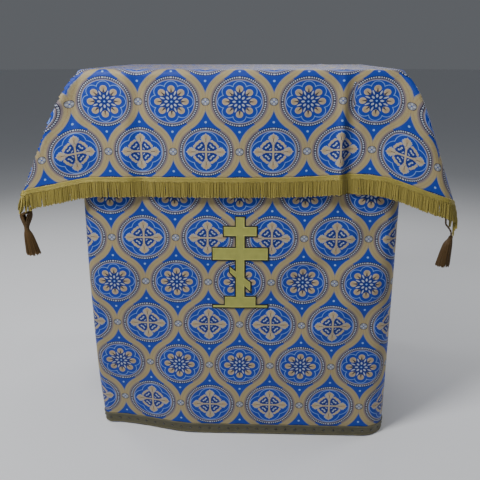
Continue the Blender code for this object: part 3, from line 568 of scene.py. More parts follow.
class Finish:
    """A material under construction: its tree, its shader and a layered colour."""

    def __init__(self, name, colour, roughness=0.5):
        self.material = bpy.data.materials.new(name)
        self.material.use_nodes = True
        self.tree = self.material.node_tree
        self.shader = self.tree.nodes["Principled BSDF"]
        self.shader.inputs["Roughness"].default_value = roughness
        self.shader.inputs["Base Color"].default_value = (*colour, 1)
        self.base = colour
        self.colour = None

    def node(self, kind, **values):
        made = self.tree.nodes.new(kind)
        for key, value in values.items():
            setattr(made, key, value)
        return made

    def flat_place(self):
        """The two coordinates on the flat cloth, in metres, from the piece's UV map."""
        split = self.node("ShaderNodeSeparateXYZ")
        self.tree.links.new(self.node("ShaderNodeUVMap", uv_map="flat").outputs[0], split.inputs[0])
        return Number(self.tree, split.outputs[0]), Number(self.tree, split.outputs[1])

    def layer(self, colour, mask):
        """Lays a colour over what is there, where the mask is 1."""
        mix = self.node("ShaderNodeMix", data_type="RGBA")
        if isinstance(mask, Number):
            self.tree.links.new(mask.socket, mix.inputs[0])
        else:
            mix.inputs[0].default_value = mask
        if self.colour is None:
            mix.inputs[6].default_value = (*self.base, 1)
        else:
            self.tree.links.new(self.colour, mix.inputs[6])
        mix.inputs[7].default_value = (*colour, 1)
        self.colour = mix.outputs[2]

    def noise(self, scale, detail=2.0, flat=True, stretch=(1, 1, 1)):
        """Even noise from 0 to 1, on the flat cloth or in space."""
        place = self.node("ShaderNodeMapping")
        place.inputs["Scale"].default_value = stretch
        source = self.node("ShaderNodeUVMap", uv_map="flat") if flat else self.node("ShaderNodeTexCoord")
        self.tree.links.new(source.outputs[0] if flat else source.outputs["Object"], place.inputs[0])
        made = self.node("ShaderNodeTexNoise")
        made.inputs["Scale"].default_value = scale
        made.inputs["Detail"].default_value = detail
        self.tree.links.new(place.outputs[0], made.inputs["Vector"])
        return Number(self.tree, made.outputs[0])

    def done(self, height=None, distance=0.001, strength=1.0, **sockets):
        """Joins colour and bump to the shader and sets its even sockets."""
        if self.colour is not None:
            self.tree.links.new(self.colour, self.shader.inputs["Base Color"])
        for name, value in sockets.items():
            slot = self.shader.inputs[name.replace("_", " ")]
            if isinstance(value, Number):
                self.tree.links.new(value.socket, slot)
            else:
                slot.default_value = value
        if height is not None:
            bump = self.node("ShaderNodeBump")
            bump.inputs["Strength"].default_value = strength
            bump.inputs["Distance"].default_value = distance
            self.tree.links.new(height.socket, bump.inputs["Height"])
            self.tree.links.new(bump.outputs[0], self.shader.inputs["Normal"])
        return self.material


def discs(out, aside, table):
    """1 inside any of a medallion's round figures."""
    masks = [length(out - disc.out, aside - disc.aside).below(disc.radius) for disc in table]
    return masks[0].most(*masks[1:])


def ring_line(out, aside, disc, half_width=FINE_LINE):
    """1 on the outline of a disc."""
    return length(out - disc.out, aside - disc.aside).near(disc.radius, half_width)


def rosette(x, y):
    """The eight-petalled medallion: masks of its petals, their tips, slits, pale seeds and scalloped line."""
    sine, cosine = math.sin(math.pi / PETALS), math.cos(math.pi / PETALS)
    out, aside = x.calc("MAXIMUM", y), x.calc("MINIMUM", y)
    over = (out * sine - aside * cosine).calc("MINIMUM", 0.0)
    out, aside = out - over * (2 * sine), (aside + over * (2 * cosine)).calc("ABSOLUTE")
    gap_out, gap_aside = out * cosine + aside * sine, aside * cosine - out * sine
    taper = (aside - (out - PETAL_POINT) * PETAL_SPREAD).below(0.0) * out.between(PETAL_FOOT, PETAL_HEAD.out)
    petals = discs(out, aside, (PETAL_HEAD,)).most(taper)
    tips = length(out - PETAL_TIP.out, aside).below(PETAL_TIP.radius, 0.002)
    slits = (aside - (SLIT[1] - out) * SLIT_SPREAD).below(0.0) * out.between(*SLIT)
    seeds = ellipse(out, aside, *INNER_SEED).most(ellipse(gap_out, gap_aside, *OUTER_SEED))
    scallops = ring_line(out, aside, SCALLOP) * (1.0 - length(x, y).below(SCALLOPS_START))
    return petals, tips, slits, seeds, scallops


def leaf_cross(x, y):
    """The four-leaved medallion: masks of its leaves, their pale edges, rust tints, slits, pale buds and
    quatrefoil line."""
    out, aside = x.calc("MAXIMUM", y), x.calc("MINIMUM", y)
    teeth = (out * (2 * math.pi / LEAF_TOOTH_PITCH)).calc("SINE") * LEAF_TOOTH
    from_widest = out - LEAF_WIDEST
    width = LEAF_HALF_WIDTH - from_widest * from_widest * LEAF_CURVE + teeth
    point = (aside - (LEAF_POINT[1] - out) * LEAF_POINT_SPREAD).below(0.0) * out.between(*LEAF_POINT)
    leaves = (aside - width).below(0.0).most(point)
    edges = (aside - width).below(LEAF_EDGE) * out.between(*LEAF_EDGE_RUN)
    stems = aside.below(STEM_WIDTH) * out.below(STEM_END)
    curls = ring_line(out, aside, LEAF_CURL, LEAF_CURL_WIDTH) * aside.below(LEAF_CURL.aside)
    curls = curls * (1.0 - out.below(LEAF_CURL.out))
    leaves = leaves.most(discs(out, aside, LEAF_LOBES), stems, curls)
    veins = ellipse(out, aside, *LEAF_VEIN)
    slits = aside.below(LEAF_SLIT_WIDTH) * out.between(*LEAF_SLIT)
    quatrefoil = ring_line(out, aside, QUATREFOIL) * (1.0 - length(x, y).below(QUATREFOIL_START))
    return leaves, edges, veins, slits, discs(out, aside, LEAF_BUDS), quatrefoil


def lay_bands(finish, own, nearest, to_waist, up):
    """Lays the wavy bands round the medallions, with the stars beside them and the knots where they meet, and
    gives the mask of the bands."""
    yarn = bpy.context.scene.altar_brocade
    in_band, outside_ring = own.below(BAND_END), 1.0 - nearest.below(RING_END)
    finish.layer(yarn.band, in_band)
    finish.layer(yarn.band_edge, in_band * nearest.below(GREY_END, 0.004))
    finish.layer(yarn.knot, own.between(*BAND_EDGE) * outside_ring * 0.55)
    finish.layer(yarn.vein, to_waist.below(0.0007) * in_band * 0.4)
    finish.layer(yarn.vein, own.near(BAND_LINE, 0.0012, 0.002) * outside_ring * 0.22)
    finish.layer(yarn.light, length(to_waist, up - STAR_AT).below(STAR_RADIUS))

    to_knot = length(to_waist, up)
    finish.layer(yarn.knot, to_knot.below(KNOT_RADIUS) * 0.8)
    diagonal = (to_waist - up).calc("ABSOLUTE").below(KNOT_GAP, 0.004).calc("MULTIPLY_ADD", 0.45, 0.5)
    finish.layer(yarn.shade, to_knot.near(KNOT_LINE, 0.0008) * diagonal)
    knot_petals = ellipse(to_waist, up, *KNOT_PETAL).most(ellipse(up, to_waist, *KNOT_PETAL))
    finish.layer(yarn.pale, knot_petals * 0.8)
    finish.layer(yarn.ground, to_knot.below(KNOT_MIDDLE))
    return in_band * outside_ring


def brocade_finish():
    """Blue satin brocade with rows of medallions in wavy bands."""
    yarn = bpy.context.scene.altar_brocade
    half, gap = yarn.repeat / 2, yarn.row_gap / yarn.squash
    finish = Finish("blue_brocade", yarn.ground, 0.48)
    across, down = finish.flat_place()
    x = across.calc("PINGPONG", half)
    y = (down * (1 / yarn.squash)).calc("PINGPONG", gap)
    far_x, far_y = half - x, gap - y
    to_rosette, to_cross = length(x, y), length(far_x, far_y)
    nearest = to_rosette.calc("MINIMUM", to_cross)
    rosette_side = (y * half - x * gap).below(0.0, 0.00002)
    own = to_cross + (to_rosette - to_cross) * rosette_side
    own_x, own_y = far_x + (x - far_x) * rosette_side, far_y + (y - far_y) * rosette_side
    bands = lay_bands(finish, own, nearest, half - own_x, own_y)

    angle, far_angle = y.calc("ARCTAN2", x), far_y.calc("ARCTAN2", far_x)
    turned = far_angle + (angle - far_angle) * (to_rosette - to_cross).below(0.0, 0.0002)
    beads = (turned * BEADS).calc("SINE").below(0.25, 0.4)
    finish.layer(yarn.shade, nearest.between(*BEAD_GROUND) * 0.95)
    finish.layer(yarn.pale, nearest.between(*BEAD_ROW) * beads * 0.9)
    finish.layer(yarn.band_edge, nearest.between(*INNER_RING))
    finish.layer(yarn.ground, nearest.below(FIELD))
    finish.layer(yarn.pale, nearest.near(FIELD_LINE, 0.0006) * 0.7)

    petals, tips, slits, seeds, scallops = rosette(x, y)
    leaves, edges, veins, leaf_slits, buds, quatrefoil = leaf_cross(far_x, far_y)
    in_rosette, in_cross = to_rosette.below(FIGURES_END), to_cross.below(FIGURES_END)
    rosette_shade, cross_shade = to_rosette.below(ROSETTE_SHADE, 0.004), to_cross.below(CROSS_SHADE, 0.003)
    finish.layer(yarn.shade, rosette_shade.most(cross_shade) * 0.5)
    outlines = (scallops * in_rosette).most(quatrefoil * in_cross)
    figures = (petals * in_rosette).most(leaves * in_cross)
    finish.layer(yarn.light, (outlines * 0.8).most(edges * in_cross * 0.9))
    finish.layer(yarn.figure, figures)
    finish.layer(yarn.vein, (tips * in_rosette).most(veins * in_cross) * 0.35)
    finish.layer(yarn.shade, (slits * in_rosette).most(leaf_slits * in_cross) * 0.9)
    small = (seeds * in_rosette).most(buds * in_cross)
    finish.layer(yarn.pale, small * 0.8)
    finish.layer(yarn.light, to_rosette.below(ROSETTE_MIDDLE))

    weft = (down * (2 * math.pi / WEFT_PITCH)).calc("SINE")
    warp = (across * (2 * math.pi / WARP_PITCH)).calc("SINE")
    threads = weft * warp
    # Painted shade: the crossing threads are darkened in fine stripes to show the shading of the yarns
    finish.layer(yarn.shade, threads.calc("MULTIPLY_ADD", 0.10, 0.06, clamp=True))
    finish.layer(yarn.shade, (finish.noise(9.0, 3.0) - 0.45).calc("MULTIPLY", 0.35, clamp=True))
    height = bands.most(figures, outlines, small) + threads * 0.16
    return finish.done(height, 0.0005, 0.6, Sheen_Weight=0.03, Sheen_Roughness=0.35, Specular_IOR_Level=0.25)


def woven_finish(name, colour, dark, rib=0.0011, roughness=0.5, shine=0.0, depth=0.0004):
    """Plain ribbed cloth or yarn of one colour, uneven, with fine crossing threads."""
    finish = Finish(name, colour, roughness)
    u, v = finish.flat_place()
    turn = 2 * math.pi / rib
    threads = ((u * turn).calc("SINE") * (v * turn).calc("SINE")).calc("MULTIPLY_ADD", 0.5, 0.5)
    # Painted shade in the grooves between the threads, where the bump is low
    finish.layer(dark, (1.0 - threads) * 0.35)
    finish.layer(dark, (finish.noise(60.0, 3.0) - 0.42).calc("MULTIPLY", 0.9, clamp=True))
    return finish.done(threads, depth, 0.7, Metallic=shine, Sheen_Weight=0.15, Sheen_Roughness=0.4)


def strand_finish(name, colour, dark, light, roughness=0.45, shine=0.25):
    """Twisted yarn: each strand has its own shade from the first UV number, with slanted plies along it."""
    finish = Finish(name, colour, roughness)
    u, v = finish.flat_place()
    shade = (u * 91.7).calc("FRACT")
    finish.layer(dark, shade * 0.55)
    finish.layer(light, (shade * 3.7).calc("FRACT") * 0.35)
    plies = (v * (2 * math.pi / 0.0032) + u * 40.0).calc("SINE").calc("MULTIPLY_ADD", 0.5, 0.5)
    # Painted shade in the grooves between the plies, where the bump is low
    finish.layer(dark, (1.0 - plies) * 0.30)
    return finish.done(plies, 0.0004, 0.6, Metallic=shine, Sheen_Weight=0.1, Sheen_Roughness=0.4)


def galloon_finish():
    """Dull gold galloon with a darker ribbed middle and lighter corded edges."""
    trim = bpy.context.scene.altar_trim
    dark = tuple(value * 0.35 for value in trim.galloon)
    light = tuple(min(value * 1.7, 1.0) for value in trim.galloon)
    finish = Finish("galloon_weave", trim.galloon, 0.5)
    u, v = finish.flat_place()
    middle = trim.braid_height / 2
    edges = 1.0 - (v - middle).calc("ABSOLUTE").below(middle - 0.0045)
    finish.layer(light, edges * 0.6)
    ribs = (u * (2 * math.pi / 0.0022)).calc("SINE").calc("MULTIPLY_ADD", 0.5, 0.5)
    # Painted shade in the troughs between the ribs, where the bump is low
    finish.layer(dark, (1.0 - ribs) * 0.4)
    finish.layer(dark, (finish.noise(40.0, 3.0) - 0.4).calc("MULTIPLY", 0.8, clamp=True))
    return finish.done(ribs, 0.0004, 0.6, Metallic=0.2)


def wood_finish():
    """Plain wood with soft grain along the boards."""
    stage = bpy.context.scene.altar_stage
    dark = tuple(value * 0.55 for value in stage.wood)
    finish = Finish("table_wood", stage.wood, 0.55)
    grain = finish.noise(14.0, 6.0, flat=False, stretch=(0.6, 6.0, 6.0))
    finish.layer(dark, (grain - 0.38).calc("MULTIPLY", 2.2, clamp=True))
    return finish.done(grain, 0.0004, 0.4)


def floor_finish():
    stage = bpy.context.scene.altar_stage
    finish = Finish("pale_floor", stage.floor, 0.85)
    finish.layer(tuple(value * 0.96 for value in stage.floor), finish.noise(3.0, 2.0, flat=False) * 0.5)
    return finish.done(Specular_IOR_Level=0.1)


# The drape of the two cloths


def over_sides():
    """The four sides of the over-cover, anticlockwise from the front as seen from above."""
    half_x, half_y = OVER_HALF
    left_folds = tuple(Fold(-f.at, -f.foot, f.out * LEFT_SIDE_SLACK, f.belly, f.pull)
                       for f in reversed(RIGHT_FOLDS))
    return (
        Side("front", Vector((1, 0)), Vector((0, -1)), half_x, half_y, END_REACH, FRONT_FOLDS,
             "front_left", "front_right", LEFT_REACH, RIGHT_REACH),
        Side("right", Vector((0, 1)), Vector((1, 0)), half_y, half_x, RIGHT_REACH, RIGHT_FOLDS,
             "front_right", "back_right", END_REACH, END_REACH),
        Side("back", Vector((-1, 0)), Vector((0, 1)), half_x, half_y, END_REACH, BACK_FOLDS,
             "back_right", "back_left", RIGHT_REACH, LEFT_REACH),
        Side("left", Vector((0, -1)), Vector((-1, 0)), half_y, half_x, LEFT_REACH, left_folds,
             "back_left", "front_left", END_REACH, END_REACH),
    )


def corner_fold(side, name, sign, reach):
    """The hem's row at one of the cloth's corners, as one of its sides sees it."""
    ear = EARS[name]
    on_end = side.name in ("front", "back")
    beyond = ear.side_out if on_end else ear.end_out
    out = ear.end_out if on_end else ear.side_out
    return Fold(sign * (side.half + reach), sign * (side.half + beyond), out, ear.belly, ear.pull)


def side_rows(side):
    start = corner_fold(side, side.start, -1, side.start_reach)
    end = corner_fold(side, side.end, 1, side.end_reach)
    return (start,) + side.folds + (end,)


def row_at(rows, value):
    """The row at a value of the first column, on a smooth curve through the rows."""
    index = 0
    while index < len(rows) - 2 and rows[index + 1][0] < value:
        index += 1
    first, second = rows[index], rows[index + 1]
    before, after = rows[max(index - 1, 0)], rows[min(index + 2, len(rows) - 1)]
    span = second[0] - first[0]
    share = min(max((value - first[0]) / span, 0.0), 1.0)
    s2, s3 = share * share, share ** 3
    values = []
    for a, b, c, d in zip(before, first, second, after):
        slope_start = (c - a) / (second[0] - before[0]) * span
        slope_end = (d - b) / (after[0] - first[0]) * span
        values.append((2 * s3 - 3 * s2 + 1) * b + (s3 - 2 * s2 + share) * slope_start
                      + (3 * s2 - 2 * s3) * c + (s3 - s2) * slope_end)
    return type(first)(*values)


class HangingLine:
    """One line of the over-cover, from the flat top over the rim to the hem."""

    def __init__(self, side, row):
        straight = side.half - OVER_CORNER
        beyond = abs(row.at) - straight
        sign = math.copysign(1.0, row.at)
        if beyond <= 0:
            normal = side.outward.copy()
            rim = side.along * row.at + side.outward * side.rim
            length, stretch = side.reach, 1.0
        else:
            turn = math.atan2(beyond, side.reach + OVER_CORNER)
            normal = side.along * (sign * math.sin(turn)) + side.outward * math.cos(turn)
            rim = (side.along * (sign * straight) + side.outward * (side.rim - OVER_CORNER)
                   + normal * OVER_CORNER)
            length = math.hypot(beyond, side.reach + OVER_CORNER) - OVER_CORNER
            stretch = 1 + BIAS_STRETCH * math.sin(2 * turn)
        length = (length - ROLL_EXTRA * OVER_ROLL) * stretch - row.pull
        foot = side.along * row.foot + side.outward * (side.rim + row.out)
        drop = math.sqrt(length ** 2 - (foot - rim).length_squared)
        self.foot = Vector((foot.x, foot.y, OVER_TOP - OVER_ROLL - drop))
        self.normal = Vector((normal.x, normal.y, 0))
        self.belly = row.belly
        self.centre = Vector((rim.x, rim.y, OVER_TOP - OVER_ROLL)) - self.normal * OVER_ROLL
        away = self.foot - self.centre
        across = away.dot(self.normal)
        lift = math.atan2(away.z, across) + math.acos(OVER_ROLL / math.hypot(across, away.z))
        self.turn = math.pi / 2 - lift
        self.leave = self.on_roll(self.turn)
        self.arc = OVER_ROLL * self.turn
        self.fall = (self.foot - self.leave).length

    def on_roll(self, angle):
        up = Vector((0, 0, OVER_ROLL * math.cos(angle)))
        return self.centre + self.normal * (OVER_ROLL * math.sin(angle)) + up

    def point(self, share):
        travelled = share * (self.arc + self.fall)
        if travelled < self.arc:
            return self.on_roll(travelled / OVER_ROLL)
        part = (travelled - self.arc) / self.fall
        bow = self.belly * math.sin(math.pi * math.sqrt(part))
        return self.leave.lerp(self.foot, part) + self.normal * bow


def over_point(x, y, sides, rows, lines):
    """Where a point of the flat over-cover lies once it hangs."""
    centre_x, centre_y = OVER_HALF[0] - OVER_CORNER, OVER_HALF[1] - OVER_CORNER
    past_x, past_y = abs(x) - centre_x, abs(y) - centre_y
    away = math.hypot(past_x, past_y) if past_x > 0 and past_y > 0 else max(past_x, past_y)
    start = OVER_CORNER - OVER_ROLL
    if away <= start:
        return Vector((x, y, OVER_TOP))
    side_reach = RIGHT_REACH if x > 0 else LEFT_REACH
    if past_x <= 0:
        on_end, at, full = True, abs(x), END_REACH + OVER_CORNER
    elif past_y <= 0:
        on_end, at, full = False, abs(y), side_reach + OVER_CORNER
    else:
        on_end = past_y * (side_reach + OVER_CORNER) >= past_x * (END_REACH + OVER_CORNER)
        if on_end:
            hem = past_x * (END_REACH + OVER_CORNER) / past_y
            at, full = centre_x + hem, math.hypot(hem, END_REACH + OVER_CORNER)
        else:
            hem = past_y * (side_reach + OVER_CORNER) / past_x
            at, full = centre_y + hem, math.hypot(hem, side_reach + OVER_CORNER)
    name = ("front" if y < 0 else "back") if on_end else ("right" if x > 0 else "left")
    side = sides[name]
    signed = math.copysign(at, (x if on_end else y) * (1 if name in ("front", "right") else -1))
    key = (name, round(signed, 5))
    if key not in lines:
        lines[key] = HangingLine(side, row_at(rows[name], signed))
    return lines[key].point((away - start) / (full - start))


def soft_push(presses, along, up):
    """How far the listed soft troughs and ridges push each point out."""
    total = np.zeros(along.shape)
    for press in presses:
        start_x, start_y, end_x, end_y, push, reach = press
        run_x, run_y = end_x - start_x, end_y - start_y
        share = ((along - start_x) * run_x + (up - start_y) * run_y) / (run_x ** 2 + run_y ** 2)
        share = np.clip(share, 0, 1)
        away = np.hypot(along - start_x - run_x * share, up - start_y - run_y * share)
        fade = np.sin(math.pi * (CREASE_FADE + (1 - 2 * CREASE_FADE) * share))
        total += push * fade * np.where(away < reach, 0.5 * (1 + np.cos(math.pi * away / reach)), 0)
    return total


def uneven(points, waves):
    """How far smooth waves push each point out."""
    total = np.zeros(points.shape[:-1])
    for wave in waves:
        shift = Vector((7.3, 3.1, 5.7)) * wave.seed
        values = [noise.noise(Vector(point) / wave.size + shift) for point in points.reshape(-1, 3)]
        total += wave.depth * np.array(values).reshape(total.shape)
    return total


def surface_normals(points, closed):
    """Outward directions of a grid of points, rows downward or to the back, columns anticlockwise."""
    if closed:
        across = np.roll(points, -1, axis=1) - np.roll(points, 1, axis=1)
    else:
        across = np.gradient(points, axis=1)
    down = np.gradient(points, axis=0)
    normal = np.cross(down, across) if closed else np.cross(across, down)
    return normal / np.maximum(np.linalg.norm(normal, axis=2, keepdims=True), 1e-12)


def over_grid(cell):
    """The hung over-cover as a grid of points, with its flat coordinates and outward directions."""
    count = round(CLOTH_SIZE / cell)
    xs = np.linspace(-(OVER_HALF[0] + LEFT_REACH), OVER_HALF[0] + RIGHT_REACH, count + 1)
    ys = np.linspace(-CLOTH_SIZE / 2, CLOTH_SIZE / 2, count + 1)
    sides = {side.name: side for side in over_sides()}
    rows = {name: side_rows(side) for name, side in sides.items()}
    lines = {}
    points = np.array([[over_point(x, y, sides, rows, lines) for x in xs] for y in ys])
    flat_x, flat_y = np.meshgrid(xs, ys)
    normals = surface_normals(points, False)
    push = soft_push(OVER_PRESSES, flat_x, flat_y)
    push += uneven(points, OVER_WAVES)
    hanging = np.clip((OVER_TOP - points[..., 2]) / TOP_FADE, 0, 1)
    push = push * hanging + (1 - hanging) * np.maximum(push * TOP_UNEVEN + TOP_LIFT, 0)
    points = points + normals * push[..., None]
    return points, np.stack([flat_x, flat_y], axis=2), surface_normals(points, False)


def smooth_step(start, end, values):
    """0 at the start, 1 at the end, and a soft slope between them."""
    share = np.clip((values - start) / (end - start), 0, 1)
    return share * share * (3 - 2 * share)


def corner_back(places, height):
    """How far back the front left corner takes points of the under-cover."""
    left = smooth_step(*CORNER_BACK_FRONT, places[:, 0]) * smooth_step(*CORNER_BACK_SIDE, places[:, 1])
    low = (CORNER_BACK_HEIGHT - height) / (CORNER_BACK_HEIGHT - CORNER_BACK_HEM)
    return CORNER_BACK * min(max(low, 0.0), 1.0) ** CORNER_BACK_FALL * left


def under_outline(height, steps):
    """Plan of the under-cover at a height, from the middle of its back: points and outward directions."""
    level = row_at(tuple(reversed(UNDER_LEVELS)), height)
    left, right = -UNDER_HALF[0] - level.left, UNDER_HALF[0] + level.right
    front, back = -UNDER_HALF[1] - level.front, UNDER_HALF[1] + level.back
    wide, tight = level.corner, level.front_left
    long_steps, short_steps, corner_steps = steps
    walls = (
        ("back", (0.0, back), (left, back), (0, 1), long_steps // 2, 0.0, wide),
        ("left", (left, back), (left, front), (-1, 0), short_steps, wide, tight),
        ("front", (left, front), (right, front), (0, -1), long_steps, tight, wide),
        ("right", (right, front), (right, back), (1, 0), short_steps, wide, wide),
        ("back", (right, back), (0.0, back), (0, 1), long_steps // 2, wide, 0.0),
    )
    places, normals = [], []
    for wall, start, end, normal, count, start_radius, end_radius in walls:
        start, end, normal = np.array(start), np.array(end), np.array(normal, float)
        along = (end - start) / np.linalg.norm(end - start)
        start, end = start + along * start_radius, end - along * end_radius
        shares = np.linspace(0, 1, count + 1)[:, None]
        if not end_radius:
            shares = shares[:-1]
        line = start + (end - start) * shares
        creases = [crease[1:] for crease in UNDER_CREASES if crease.wall == wall]
        push = soft_push(creases, line @ along, np.full(len(line), height))
        places.append(line + normal * push[:, None])
        normals.append(np.repeat(normal[None], len(line), axis=0))
        if end_radius:
            angles = np.arange(1, corner_steps)[:, None] * (math.pi / 2 / corner_steps)
            turned = normal * np.cos(angles) + along * np.sin(angles)
            places.append(end + (turned - normal) * end_radius)
            normals.append(turned)
    places = np.concatenate(places)
    places[:, 1] += corner_back(places, height)
    return places, np.concatenate(normals)


def wall_distance(places):
    """Distance round the cover from the middle of its front, negative to the left, with the seam's twin."""
    closed = np.concatenate([places, places[:1]])
    travelled = np.concatenate([[0], np.cumsum(np.linalg.norm(np.diff(closed, axis=0), axis=1))])
    front = np.where((closed[:, 1] < 0) & (np.abs(closed[:, 0]) < 0.1))[0]
    return travelled - np.interp(0.0, closed[front, 0], travelled[front])


def meet_at_seam(flat, repeat):
    """Flat coordinates with the pattern eased along the back wall, so that it meets itself at the seam."""
    distance = flat[..., 0]
    ends = np.abs(np.where(distance < 0, distance[:, :1], distance[:, -1:]))
    whole = round(float(ends.mean()) / (repeat / 2)) * (repeat / 2)
    back_starts = UNDER_HALF[0] + 2 * UNDER_HALF[1]
    share = np.clip((np.abs(distance) - back_starts) / (ends - back_starts), 0, 1)
    eased = distance + np.sign(distance) * share * (whole - ends)
    return np.stack([eased, flat[..., 1]], axis=2)


def under_steps(cell):
    return round(2 * UNDER_HALF[0] / cell / 2) * 2, round(2 * UNDER_HALF[1] / cell), UNDER_CORNER_STEPS


def under_grid(cell):
    """The under-cover's walls and rolled rim as a grid of points, with flat coordinates."""
    steps = under_steps(cell)
    rim_height = UNDER_TOP - UNDER_ROLL
    plan, normals = under_outline(rim_height, steps)
    rows, flats = [], []
    for angle in np.linspace(0, math.pi / 2, UNDER_ROLL_STEPS + 1)[:-1]:
        moved = plan + normals * (UNDER_ROLL * (math.sin(angle) - 1))
        height = UNDER_TOP - UNDER_ROLL * (1 - math.cos(angle))
        rows.append(np.column_stack([moved, np.full(len(moved), height)]))
        unrolled = rim_height + UNDER_ROLL * (math.pi / 2 - angle)
        flats.append(np.column_stack([wall_distance(plan), np.full(len(plan) + 1, unrolled)]))
    for height in np.linspace(rim_height, UNDER_LEVELS[-1].height, round(rim_height / cell)):
        plan, normals = under_outline(height, steps)
        rows.append(np.column_stack([plan, np.full(len(plan), height)]))
        flats.append(np.column_stack([wall_distance(plan), np.full(len(plan) + 1, height)]))
    points, flat = np.array(rows), np.array(flats)
    share = np.clip((UNDER_TOP - points[..., 2] - WAVES_TOP) / WAVES_TOP_FADE, 0, 1)
    share *= np.clip((points[..., 2] - WAVES_HEM) / WAVES_HEM_FADE, 0, 1)
    push = share * uneven(points, UNDER_WAVES)
    return points + surface_normals(points, True) * push[..., None], flat


# Pieces


def place_piece(name, vertices, faces, flats, materials, face_materials=None):
    """An object from points in the table's own place, with its flat coordinates as a UV map."""
    mesh = bpy.data.meshes.new(name)
    moved = np.asarray(vertices, float) + np.array(TABLE_MIDDLE)
    mesh.from_pydata(moved.tolist(), [], faces)
    layer = mesh.uv_layers.new(name="flat")
    layer.data.foreach_set("uv", np.asarray(flats, np.float32).ravel())
    mesh.shade_smooth()
    for material in materials:
        mesh.materials.append(material)
    if face_materials is not None:
        mesh.polygons.foreach_set("material_index", face_materials)
    mesh.update()
    piece = bpy.data.objects.new(name, mesh)
    bpy.context.scene.collection.objects.link(piece)
    return piece


def grid_faces(rows, columns, closed, flipped=False):
    """Faces of a grid and, for their corners, the places in a flat map that has the seam's twin column."""
    across = columns if closed else columns - 1
    row, column = np.meshgrid(np.arange(rows - 1), np.arange(across), indexing="ij")
    row, column = row.ravel(), column.ravel()
    corners = [(row, column), (row + 1, column), (row + 1, column + 1), (row, column + 1)]
    if flipped:
        corners = corners[::-1]
    faces = np.stack([r * columns + c % columns for r, c in corners], axis=1)
    places = np.stack([r * (columns + closed) + c for r, c in corners], axis=1)
    return faces, places


def thin_sheet(piece, thickness):
    """Gives a sheet its thickness behind its outer face."""
    solid = piece.modifiers.new("thickness", "SOLIDIFY")
    solid.thickness = thickness
    solid.offset = -1.0


def tubes(paths, widths, depths, sides, lobes=0.0, twist=0.0, phase=None):
    """Round yarns along paths of points (yarn, step, xyz), as points, faces and flat coordinates."""
    count, steps = paths.shape[:2]
    along = np.gradient(paths, axis=1)
    along /= np.maximum(np.linalg.norm(along, axis=2, keepdims=True), 1e-9)
    beside = np.cross(along, np.array([0.0, 1.0, 0.0]) + along * 0.001)
    beside /= np.maximum(np.linalg.norm(beside, axis=2, keepdims=True), 1e-9)
    outward = np.cross(beside, along)
    lengths = np.cumsum(np.linalg.norm(np.diff(paths, axis=1, prepend=paths[:, :1]), axis=2), axis=1)
    turn = np.linspace(0, 2 * math.pi, sides, endpoint=False)[None, None, :]
    start = np.zeros(count) if phase is None else phase
    swell = 1 + lobes * np.cos(2 * turn - twist * lengths[..., None] + start[:, None, None])
    across = np.cos(turn) * swell * np.asarray(widths)[..., None]
    depth = np.sin(turn) * swell * np.asarray(depths)[..., None]
    points = paths[:, :, None] + beside[:, :, None] * across[..., None]
    points = points + outward[:, :, None] * depth[..., None]
    faces, flats = [], []
    ring_faces, _ = grid_faces(steps, sides, True, True)
    shade = (np.arange(count) * 0.61803) % 1.0
    for yarn in range(count):
        base = yarn * steps * sides
        faces.extend((ring_faces + base).tolist())
        faces.append([base + side for side in range(sides)])
        faces.append([base + (steps - 1) * sides + side for side in reversed(range(sides))])
        row = ring_faces // sides
        flat = np.stack([np.full(row.shape, shade[yarn]), lengths[yarn][row]], axis=2).reshape(-1, 2)
        flats.append(flat)
        flats.append(np.repeat([[shade[yarn], 0.0]], sides, axis=0))
        flats.append(np.repeat([[shade[yarn], lengths[yarn][-1]]], sides, axis=0))
    return points.reshape(-1, 3), faces, np.concatenate(flats)


def join_parts(parts):
    """Several (points, faces, flats) as one, with the number of faces of each."""
    points, faces, flats, counts = [], [], [], []
    base = 0
    for part_points, part_faces, part_flats in parts:
        points.append(part_points)
        faces.extend([[index + base for index in face] for face in part_faces])
        flats.append(part_flats)
        counts.append(len(part_faces))
        base += len(part_points)
    return np.concatenate(points), faces, np.concatenate(flats), counts


def band_round(loops, flats, closed):
    """A closed band whose cross-section runs through the loops, which are (section, along, xyz)."""
    loops = np.asarray(loops)
    section, along = loops.shape[:2]
    faces, places = grid_faces(section + 1, along, closed)
    wrapped = faces % (section * along)
    flat_map = np.concatenate([flats, flats[:1]])
    face_list = wrapped.tolist()
    uv = flat_map.reshape(-1, 2)[places].reshape(-1, 2)
    if not closed:
        first = [index * along for index in range(section)]
        last = [index * along + along - 1 for index in range(section)]
        face_list += [first, last[::-1]]
        uv = np.concatenate([uv, flats[:, 0], flats[::-1, -1]])
    return loops.reshape(-1, 3), face_list, uv


def make_under_cover():
    """The floor-length cover."""
    yarn = bpy.context.scene.altar_brocade
    points, flat = under_grid(yarn.cell * UNDER_CELL_SHARE)
    rows, columns = points.shape[:2]
    faces, places = grid_faces(rows, columns, True)
    flat = meet_at_seam(flat, yarn.repeat) - np.array([0.0, UNDER_PATTERN_Z])
    uv = flat.reshape(-1, 2)[places].reshape(-1, 2)
    top = points[0][:, :2]
    uv = np.concatenate([uv, top])
    piece = place_piece("brocade_under_cover", points.reshape(-1, 3),
                        faces.tolist() + [list(range(columns))], uv, [finish_named("blue_brocade")])
    thin_sheet(piece, yarn.thickness)
    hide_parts("under_cover")
    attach(piece, "root")


def make_over_cover():
    """The square cloth on top with its four ears."""
    yarn = bpy.context.scene.altar_brocade
    points, flat, _ = over_grid(yarn.cell)
    rows, columns = points.shape[:2]
    faces, places = grid_faces(rows, columns, False, True)
    flat = flat - np.array([0.0, OVER_PATTERN_Y])
    piece = place_piece("brocade_over_cover", points.reshape(-1, 3), faces.tolist(),
                        flat.reshape(-1, 2)[places].reshape(-1, 2), [finish_named("blue_brocade")])
    thin_sheet(piece, yarn.thickness)
    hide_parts("over_cover")
    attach(piece, "root")


